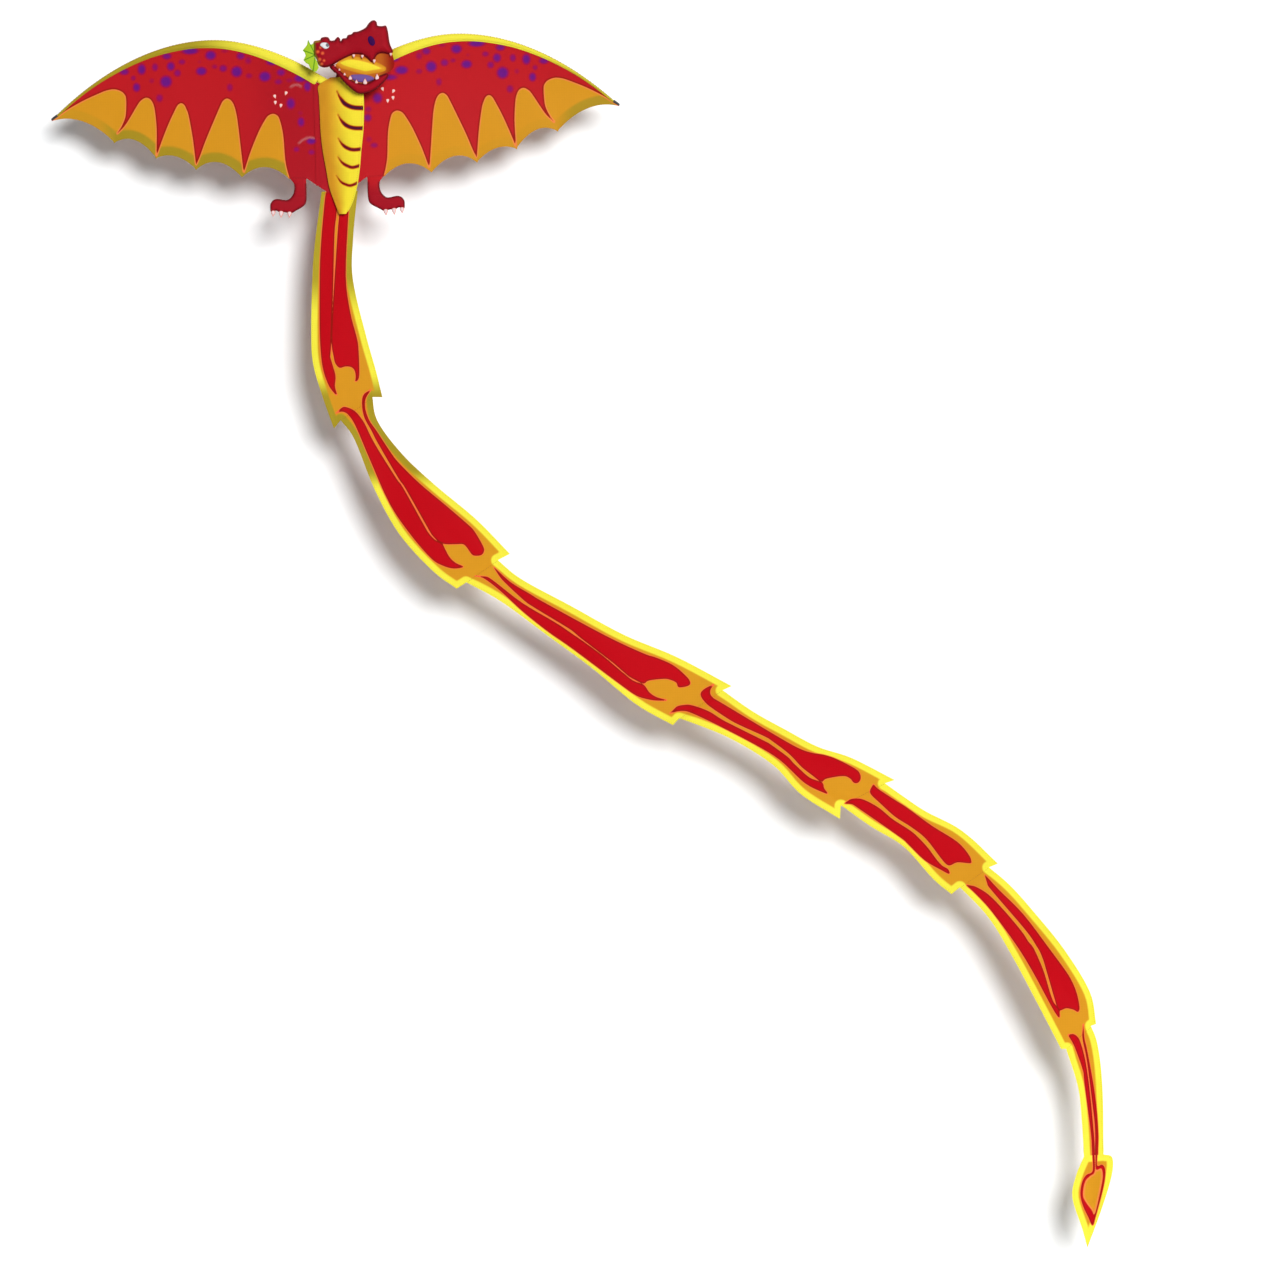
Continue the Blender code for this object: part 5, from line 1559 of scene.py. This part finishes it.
def make_eyes_and_nostrils():
    """Patches on both sides of the head, each with a sewn rim."""
    angles = np.linspace(0.0, 2 * math.pi, 40, endpoint=False)
    oval = np.column_stack([np.cos(angles) * NOSTRIL_HALF[0], np.sin(angles) * NOSTRIL_HALF[1]])
    oval = turned(oval, NOSTRIL_LEAN, NOSTRIL)
    sunk = puffed(1.0, 0.0, 0.0012)
    for name, side in (("near", 1), ("far", -1)):

        def level(points, side=side):
            return HEAD_Y + side * (on_skull(points) - HEAD_Y)

        for label, loop, lift, cloth, rim_cloth, slot, marks in (
            ("eye", smooth_loop(EYE, 4), 0.0020, "eye_cloth", "head_piping", "eye_white", pupil_mark),
            ("nostril", oval, 0.0009, "nostril_cloth", "nostril_cloth", "nostril_purple", None),
        ):
            sides = (puffed(0.005, lift, 0.0003), sunk)[::side]
            piece = pillow(f"{label}_{name}_patch", loop, 0.0013, level, cloth, *sides, marks)
            fasten(piece, "head", slot, f"{label}_{name}")
            closed = np.vstack([loop, loop[:1]])
            rim = np.column_stack([closed[:, 0], level(closed) - side * 0.0004, closed[:, 1]])
            fasten(tube_piece(f"{label}_{name}_rim", rim, 0.0006, rim_cloth, 8), "head", slot)


def make_teeth():
    """Stuffed felt teeth, each sewn at its root to the edge of the lip."""
    for row, teeth, nodes in (
        ("upper", UPPER_TEETH, ("upper_tooth_1", "upper_tooth_2")),
        ("lower", LOWER_TEETH, ("lower_tooth_1", "lower_tooth_2", "lower_tooth_3", "lower_tooth_4")),
    ):
        for number, (x, z, half, length) in enumerate(teeth, 1):
            outline = claw_outline(abs(length), half) * (1, -math.copysign(1, length))
            loop = smooth_loop(outline + (x, z), 3)
            tooth = pillow(f"{row}_tooth_{number}_felt", loop, 0.0012, HEAD_Y - 0.0060, "claw_cloth",
                           puffed(0.0035, 0.0024, 0.0002))
            fasten(tooth, "head", "tooth_white", *nodes[number - 1:number])


def make_frill():
    """The pointed cheek frill: two layers of cloth with a sewn rib out to each point."""
    ribs = [np.array((FRILL_ROOT, tip)) for tip in FRILL_TIPS]

    def channel(points):
        return np.min([distance(points, rib) for rib in ribs], axis=0)

    def high(points, away):
        return 0.0003 + dome(away, 0.010, 0.0018) - 0.0009 * np.exp(-(channel(points) / 0.0015) ** 2)

    frill = pillow("cheek_frill_cloth", smooth_loop(FRILL, 1), 0.0018, HEAD_Y, "frill_cloth", high,
                   marks=lambda points, away: {"rib": channel(points)})
    fasten(frill, "head", "frill_green", "cheek_frill")


# ---- tail


def shifted(seam, amount):
    """A sewn line's two ends, moved down the tail by an amount."""
    left, right = (np.array(p, float) for p in seam)
    across = (right - left) / np.linalg.norm(right - left)
    down = np.array((across[1], -across[0]))
    return left + down * amount, right + down * amount


def section_lines(number):
    """A tail section's left edge, right edge and bottom line, and the sewn line above it."""
    left, right, below = TAIL[number - 1]
    seam = TAIL_TOP if number == 1 else TAIL[number - 2][2]
    top_left, top_right = shifted(seam, -0.0035)
    first = 1 if number == 1 else 0
    left = smooth_line([top_left, *left[first:]], 6)
    right = smooth_line([top_right, *right[first:]], 6)
    bottom = np.vstack([left[-1], below[0], below[1], right[-1]])
    return left, right, bottom, seam


def section_grid(number):
    left, right, bottom, _ = section_lines(number)
    long = (line_length(left) + line_length(right)) / 2
    rows = max(24, int(long / 0.0048))
    wide = max(line_length(bottom), float(np.linalg.norm(left[len(left) // 2] - right[len(right) // 2])))
    cols = max(18, int(wide / 0.0025))
    a, b = spaced(left, rows), spaced(right, rows)
    shares = shares_of(cols)
    flat = a[:, None] + (b - a)[:, None] * shares[None, :, None]
    low = spaced(bottom, cols)
    late = ease(shares_of(rows), 0.80, 1.0)[:, None, None]
    flat = flat + (low - flat[-1])[None] * late ** 1.5
    return flat, long


def tail_wave(flat, number, long):
    """How far each point of a section waves from the frame's plane: none at the sewn lines."""
    rows, cols = flat.shape[:2]
    down = shares_of(rows)[:, None]
    over = np.linspace(-1.0, 1.0, cols)[None, :]
    size = bpy.context.scene.kite_sizes.tail_wave
    turns = max(1, round(long / 0.30))
    swing = np.sin(math.pi * turns * down + 0.6 * over) * np.sin(math.pi * down) ** 0.7
    curl = 0.35 * over ** 2 * np.sin(math.pi * down * (turns + 1) + number)
    return size * (swing * (0.75 + 0.25 * over * (-1) ** number) + curl * np.sin(math.pi * down))


def free_edges(number):
    """The two edges of a section from its upper seam to the barb's point and back in to the lower seam."""
    left, right, bottom, seam = section_lines(number)
    return [np.vstack([[start], side[2:], [corner]])
            for side, start, corner in ((left, seam[0], bottom[1]), (right, seam[1], bottom[2]))]


def tail_marks(flat, number):
    points = flat.reshape(-1, 2)
    edge = np.full(len(points), 1.0)
    lobe = np.full(len(points), -1.0)
    for near in range(max(1, number - 1), min(len(TAIL), number + 1) + 1):
        for line in free_edges(near):
            edge = np.minimum(edge, distance(points, line))
        first, second = (signed(points, smooth_loop(outline, 4)) for outline in LOBES[2 * near - 2:2 * near])
        vein = 1.0 - ease(-(first + second), 0.003, 0.011)
        lobe = np.maximum(lobe, np.maximum(first, second) + 0.0016 * vein)
    return {"edge": edge, "lobe": lobe, "olive": tail_olive(points[:, 1])}


def tail_olive(z):
    """Share of olive in the tail's yellow border by height: part print and part painted shade."""
    first = ease(z, -0.50, -0.40) * 0.85
    second = (1.0 - ease(z, -0.70, -0.64)) * ease(z, -0.93, -0.88) * 0.95
    return np.maximum(first, second)


def tail_place(number):
    """The place of a section's sewn line: the body above it, its own body and a point on each side of the line."""
    seam = TAIL_TOP if number == 1 else TAIL[number - 2][2]
    above = "frame" if number == 1 else f"tail_{number - 1}"
    name = "tip" if number > len(TAIL) else f"tail_{number}"
    before = np.mean(shifted(seam, -0.010), axis=0)
    after = np.mean(shifted(seam, 0.040 if number < 8 else 0.025), axis=0)
    return (above, name, (before[0], SAIL_Y, before[1]), (after[0], SAIL_Y, after[1]))


def make_tail_section(number):
    sizes = bpy.context.scene.kite_sizes
    flat, long = section_grid(number)
    rows, cols = flat.shape[:2]
    wave = tail_wave(flat, number, long)
    spots = np.stack([flat[..., 0], SAIL_Y + wave, flat[..., 1]], axis=-1)
    spots[:3, :, 1] += 0.0007
    held = np.zeros((rows, cols), bool)
    held[:2] = held[-1] = True
    breeze = 0.9 if number % 2 else -0.9
    spots = drape(spots, held, (0.0, breeze, -2.0), sizes.slack, 0.004, 0.004, every=4, frames=12)
    marks = tail_marks(flat, number)
    thick = hemmed(marks["edge"].reshape(rows, cols))
    section = sheet_piece(f"tail_section_{number}_cloth", spots, thick, "tail_print", marks)
    where = tail_place(number)
    fasten(section, where, "tail_red", f"tail_section_{number}")
    width = np.linalg.norm(flat[:, -1] - flat[:, 0], axis=1)
    inset = np.clip(sizes.hem * 0.7 / width, 0.0, 0.3) * (cols - 1)
    runs = [between(spots, place)[3:-1] for place in (inset, cols - 1 - inset)]
    sewing = sewn(f"tail_section_{number}", runs, "yellow_thread", where, "tail_red", sizes.cloth * 0.5)
    join = sewn(f"tail_seam_{number}", [spots[1, 1:-1]], "red_thread", where, "tail_red", sizes.cloth)


def make_tail_tip():
    """The arrow-shaped end of the tail."""
    sizes = bpy.context.scene.kite_sizes
    seam = TAIL[-1][2]
    left, right = shifted(seam, -0.0035)
    middle = smooth_line([left, *ARROW[:4]], 4)
    rest = smooth_line([*ARROW[3:], right], 4)
    loop = np.vstack([middle, rest[1:]])
    lobe_loop = smooth_loop(ARROW_LOBE, 5)
    core_loop = smooth_loop(ARROW_CORE, 5)

    def level(points):
        share = np.clip((seam[0][1] - points[:, 1]) / 0.225, 0.0, 1.0)
        return SAIL_Y + sizes.tail_wave * 0.7 * np.sin(math.pi * share) * np.cos(points[:, 0] * 60.0)

    def marks(points, away):
        return {"lobe": signed(points, lobe_loop), "core": signed(points, core_loop)}

    def half(points, away):
        return hemmed(away) / 2

    tip = pillow("tail_tip_cloth", loop, 0.0026, level, "tip_print", half, marks=marks)
    fasten(tip, tail_place(8), "edge_yellow", "tail_tip")
    inner = smooth_loop(loop[::4], 2)
    middle_point = inner.mean(0)
    inset = inner + (middle_point - inner) * (0.0045 / np.linalg.norm(middle_point - inner, axis=1))[:, None]
    run = [(x, y, z) for (x, z), y in zip(inset, level(inset))]
    sewing = sewn("tail_tip", [run], "yellow_thread", tail_place(8), "edge_yellow", sizes.cloth * 0.5)


# ---- rods and fittings


def make_rods():
    """Smooth rods with end caps, the flexible joints of the wings, and a better finish on the hub."""
    spine = [(0.0, SPINE_Y, z) for z in np.linspace(SPINE_BOTTOM, SPINE_TOP, 12)]
    fasten(tube_piece("spine_rod_smooth", spine, SPINE_RADIUS, "rod_black", 20), "frame", "rod_black", "spine_rod")
    for name, low, high in (("spine_top_cap", SPINE_TOP - 0.012, SPINE_TOP + 0.003),
                            ("spine_bottom_cap", SPINE_BOTTOM + 0.012, SPINE_BOTTOM - 0.003)):
        shape = ((0.0, 0.0043), (0.06, 0.0047), (0.12, 0.0045), (0.5, 0.0044), (0.86, 0.0044), (0.94, 0.0040),
                 (1.0, 0.0028))
        cap = moulded(f"{name}_moulded", (0.0, SPINE_Y, low), (0.0, SPINE_Y, high), shape, "vinyl_tube", 20)
        fasten(cap, "frame", "vinyl_black", name)
    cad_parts["centre_hub"].data.materials.clear()
    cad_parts["centre_hub"].data.materials.append(bpy.data.materials["moulded_black"])
    for name, side in SIDES:
        make_wing_rods(name, side)


def make_wing_rods(name, side):
    body = f"wing_{name}"
    xs = np.linspace(FOLD_X + 0.008, SLEEVE_END_X - 0.012, 40)
    drop = sleeve_width(xs) / 2 * np.hypot(1.0, edge_slope(xs))
    spar = np.column_stack([side * xs, SAIL_Y + bow(xs), edge_height(xs) - drop])
    fasten(tube_piece(f"{name}_edge_spar_smooth", spar, 0.0020, "rod_black", 16), body, "rod_black",
           f"{name}_wing_edge_spar")
    spreader = [spreader_point(s, side) for s in shares_of(30)]
    fasten(tube_piece(f"{name}_spreader_smooth", spreader, SPREADER_RADIUS, "rod_black", 16), body, "rod_black",
           f"{name}_wing_spreader_rod")
    y = SAIL_Y + SPREADER_LIFT
    line = [(side * x, y, 0.0) for x in np.linspace(0.027, 0.058, 16)]
    for share in np.linspace(0.0, 0.03, 4):
        line.append(spreader_point(share, side))
    radii = [0.0062 if number in (0, 1) else 0.0058 for number in range(len(line))]
    radii[-1] = 0.0052
    sock = tube_piece(f"{name}_flexible_joint", line, radii, "vinyl_tube", 20)
    where = ("frame", body, (side * 0.040, SAIL_Y, 0.0), (side * 0.060, SAIL_Y, 0.0))
    fasten(sock, where, "vinyl_black")
    make_spreader_cup(name, side)
    make_tip_cap(name, side)


def make_spreader_cup(name, side):
    """The moulded cup on the spreader's outer end, with grip rings and an arm up to the sleeve."""
    body = f"wing_{name}"
    end = np.array(spreader_point(1.0, side))
    back = np.array(spreader_point(0.95, side))
    along = (end - back) / np.linalg.norm(end - back)
    stations = np.linspace(-0.016, 0.004, 21)
    radii = [0.0047 + (0.00035 if 2 < k < 14 and k % 3 == 0 else 0.0) for k in range(21)]
    radii[-1] = 0.0038
    cup = tube_piece(f"{name}_spreader_cup_moulded", [end + along * s for s in stations], radii, "moulded_black", 20)
    fasten(cup, body, "vinyl_black", f"{name}_wing_spreader_cup")
    x = SPREADER_END + 0.006
    drop = float(sleeve_width(x) * np.hypot(1.0, edge_slope(x)))
    top = np.array((side * x, end[1], float(edge_height(x)) - drop + 0.006))
    start = end + along * 0.002
    line = [start + (top - start) * s for s in shares_of(8)]
    arm = tube_piece(f"{name}_spreader_cup_arm", line, np.linspace(0.0034, 0.0026, 8), "moulded_black", 16)
    fasten(arm, body, "vinyl_black")


def make_tip_cap(name, side):
    """The capped point of the wing, over the spar's end."""
    x, tip_x = SLEEVE_END_X + 0.0005, HALF_SPAN - 0.001
    y = SAIL_Y + bow(SLEEVE_END_X)
    start = (side * x, y, edge_height(SLEEVE_END_X) - sleeve_width(SLEEVE_END_X) * 0.5)
    end = (side * tip_x, y + bow(tip_x) - bow(x), 0.0025)
    shape = ((0.0, 0.0032), (0.08, 0.0036), (0.16, 0.0033), (0.6, 0.0031), (0.85, 0.0027), (0.95, 0.0020),
             (1.0, 0.0011))
    cap = moulded(f"{name}_tip_cap_moulded", start, end, shape, "moulded_black", 18)
    fasten(cap, f"wing_{name}", "vinyl_black", f"{name}_wing_tip_cap")


# ---- stage


def plain_finish(name, colour, one_sided=False):
    """A plain painted surface. A one-sided one is clear from behind, so it never hides the kite."""
    tree, shader = new_finish(name)
    noise = add_node(tree, "ShaderNodeTexNoise", {"Scale": 3.0, "Detail": 2.0}).outputs["Fac"]
    shade = add_node(tree, "ShaderNodeMapRange", {0: noise, 3: 0.99, 4: 1.0}).outputs[0]
    tint = add_node(tree, "ShaderNodeVectorMath", {"Scale": shade}, operation="SCALE")
    tint.inputs[0].default_value = colour
    tree.links.new(tint.outputs[0], shader.inputs["Base Color"])
    shader.inputs["Roughness"].default_value = 1.0
    shader.inputs["Specular IOR Level"].default_value = 0.0
    if one_sided:
        clear = add_node(tree, "ShaderNodeBsdfTransparent")
        behind = add_node(tree, "ShaderNodeNewGeometry").outputs["Backfacing"]
        mixed = add_node(tree, "ShaderNodeMixShader", {0: behind, 1: shader.outputs[0], 2: clear.outputs[0]})
        tree.links.new(mixed.outputs[0], tree.nodes["Material Output"].inputs["Surface"])


def stage_plane(name, points, finish):
    mesh = bpy.data.meshes.new(name)
    mesh.from_pydata(points, [], [(0, 1, 2, 3)])
    mesh.materials.append(bpy.data.materials[finish])
    placed(name, mesh)


def make_stage():
    studio = bpy.context.scene.kite_studio
    scene = bpy.context.scene
    plain_finish("pale_wall", (0.97, 0.97, 0.97), one_sided=True)
    plain_finish("pale_floor", (0.92, 0.92, 0.92))
    wall = SAIL_Y + studio.wall_gap
    floor = -2.96
    wide, tall = 7.0, 5.0
    x, z = VIEW_MIDDLE
    near, far, left, right, top = -wide, wide, x - wide, x + wide, z + tall
    stage_plane("back_wall", [(left, wall, floor), (right, wall, floor), (right, wall, top), (left, wall, top)],
                "pale_wall")
    stage_plane("floor", [(left, near, floor), (right, near, floor), (right, far, floor), (left, far, floor)],
                "pale_floor")
    world = bpy.data.worlds.new("studio")
    world.use_nodes = True
    sky = world.node_tree.nodes["Background"].inputs
    sky["Color"].default_value = (0.72, 0.90, 1.0, 1.0)
    sky["Strength"].default_value = studio.ambient
    scene.world = world
    key = bpy.data.lights.new("key_light", "SUN")
    key.energy = studio.sun
    key.angle = math.radians(26)
    lamp = placed("key_light", key)
    lamp.rotation_mode = "QUATERNION"
    lamp.rotation_quaternion = Vector((0, 0, -1)).rotation_difference(Vector((-0.355, 1.0, -0.365)))
    scene.view_settings.view_transform = "Standard"
    make_camera(studio.lens)


def make_camera(lens):
    data = bpy.data.cameras.new("camera")
    data.lens = lens
    data.sensor_width = SENSOR * 1000
    away = VIEW_WIDTH * lens / 1000 / SENSOR
    data.clip_end = 400.0
    camera = placed("camera", data)
    right = Vector((math.cos(VIEW_LEAN), 0.0, math.sin(VIEW_LEAN)))
    up = Vector((-math.sin(VIEW_LEAN), 0.0, math.cos(VIEW_LEAN)))
    turn = Matrix((right, up, right.cross(up))).transposed()
    camera.matrix_world = Matrix.Translation((VIEW_MIDDLE[0], SAIL_Y - away, VIEW_MIDDLE[1])) @ turn.to_4x4()
    bpy.context.scene.camera = camera


# ---- operators


class KITE_OT_stage(Operator):
    """Set the camera, the lights, the floor and the wall"""

    bl_idname = "kite.stage"
    bl_label = "Stage"

    def execute(self, context):
        make_stage()
        return {"FINISHED"}


class KITE_OT_finishes(Operator):
    """Make the dyed cloths, rods, mouldings and brass"""

    bl_idname = "kite.finishes"
    bl_label = "Finishes"

    def execute(self, context):
        make_finishes()
        return {"FINISHED"}


class KITE_OT_rods(Operator):
    """Make the spine, spars, spreaders and their fittings"""

    bl_idname = "kite.rods"
    bl_label = "Rods and fittings"

    def execute(self, context):
        make_rods()
        return {"FINISHED"}


class KITE_OT_wings(Operator):
    """Make both wing sails, their hand claws and leading-edge sleeves"""

    bl_idname = "kite.wings"
    bl_label = "Wings"

    def execute(self, context):
        for name, side in SIDES:
            grid = make_wing(name, side)
            make_hand_claws(name, side, grid)
            make_sleeve(name, side)
        return {"FINISHED"}


class KITE_OT_body(Operator):
    """Make the body panel, nose patch, pockets and taped folds"""

    bl_idname = "kite.body"
    bl_label = "Body"

    def execute(self, context):
        make_body()
        return {"FINISHED"}


class KITE_OT_legs(Operator):
    """Make both legs and their claws"""

    bl_idname = "kite.legs"
    bl_label = "Legs"

    def execute(self, context):
        for name, side in SIDES:
            make_leg(name, side)
        return {"FINISHED"}


class KITE_OT_belly(Operator):
    """Make the belly keel, its neck and the tow tab"""

    bl_idname = "kite.belly"
    bl_label = "Belly keel"

    def execute(self, context):
        make_belly()
        return {"FINISHED"}


class KITE_OT_head(Operator):
    """Make the head, jaw, mouth, teeth, eyes, nostrils and frill"""

    bl_idname = "kite.head"
    bl_label = "Head"

    def execute(self, context):
        make_head()
        return {"FINISHED"}


class KITE_OT_tail(Operator):
    """Make the tail's sections and its arrow-shaped tip"""

    bl_idname = "kite.tail"
    bl_label = "Tail"

    def execute(self, context):
        for number in range(1, len(TAIL) + 1):
            make_tail_section(number)
        make_tail_tip()
        return {"FINISHED"}


STEPS = (KITE_OT_stage, KITE_OT_finishes, KITE_OT_rods, KITE_OT_wings, KITE_OT_body, KITE_OT_legs, KITE_OT_belly,
         KITE_OT_head, KITE_OT_tail)


class KITE_PT_panel(Panel):
    """Lists the kite's sizes, colours and pieces"""

    bl_label = "Dragon kite"
    bl_idname = "KITE_PT_panel"
    bl_space_type = "VIEW_3D"
    bl_region_type = "UI"
    bl_category = "Kite"

    def draw(self, context):
        for group in (context.scene.kite_sizes, context.scene.kite_colours, context.scene.kite_studio):
            box = self.layout.box()
            for key in group.__annotations__:
                box.prop(group, key)
        for step in STEPS:
            self.layout.operator(step.bl_idname)


CLASSES = (KiteSizes, KiteColours, StudioSettings, *STEPS, KITE_PT_panel)


def register():
    for item in CLASSES:
        bpy.utils.register_class(item)
    bpy.types.Scene.kite_sizes = PointerProperty(type=KiteSizes)
    bpy.types.Scene.kite_colours = PointerProperty(type=KiteColours)
    bpy.types.Scene.kite_studio = PointerProperty(type=StudioSettings)


def unregister():
    del bpy.types.Scene.kite_studio
    del bpy.types.Scene.kite_colours
    del bpy.types.Scene.kite_sizes
    for item in reversed(CLASSES):
        bpy.utils.unregister_class(item)


def main():
    register()
    for step in STEPS:
        group, name = step.bl_idname.split(".")
        getattr(getattr(bpy.ops, group), name)()


if __name__ == "__main__":
    main()
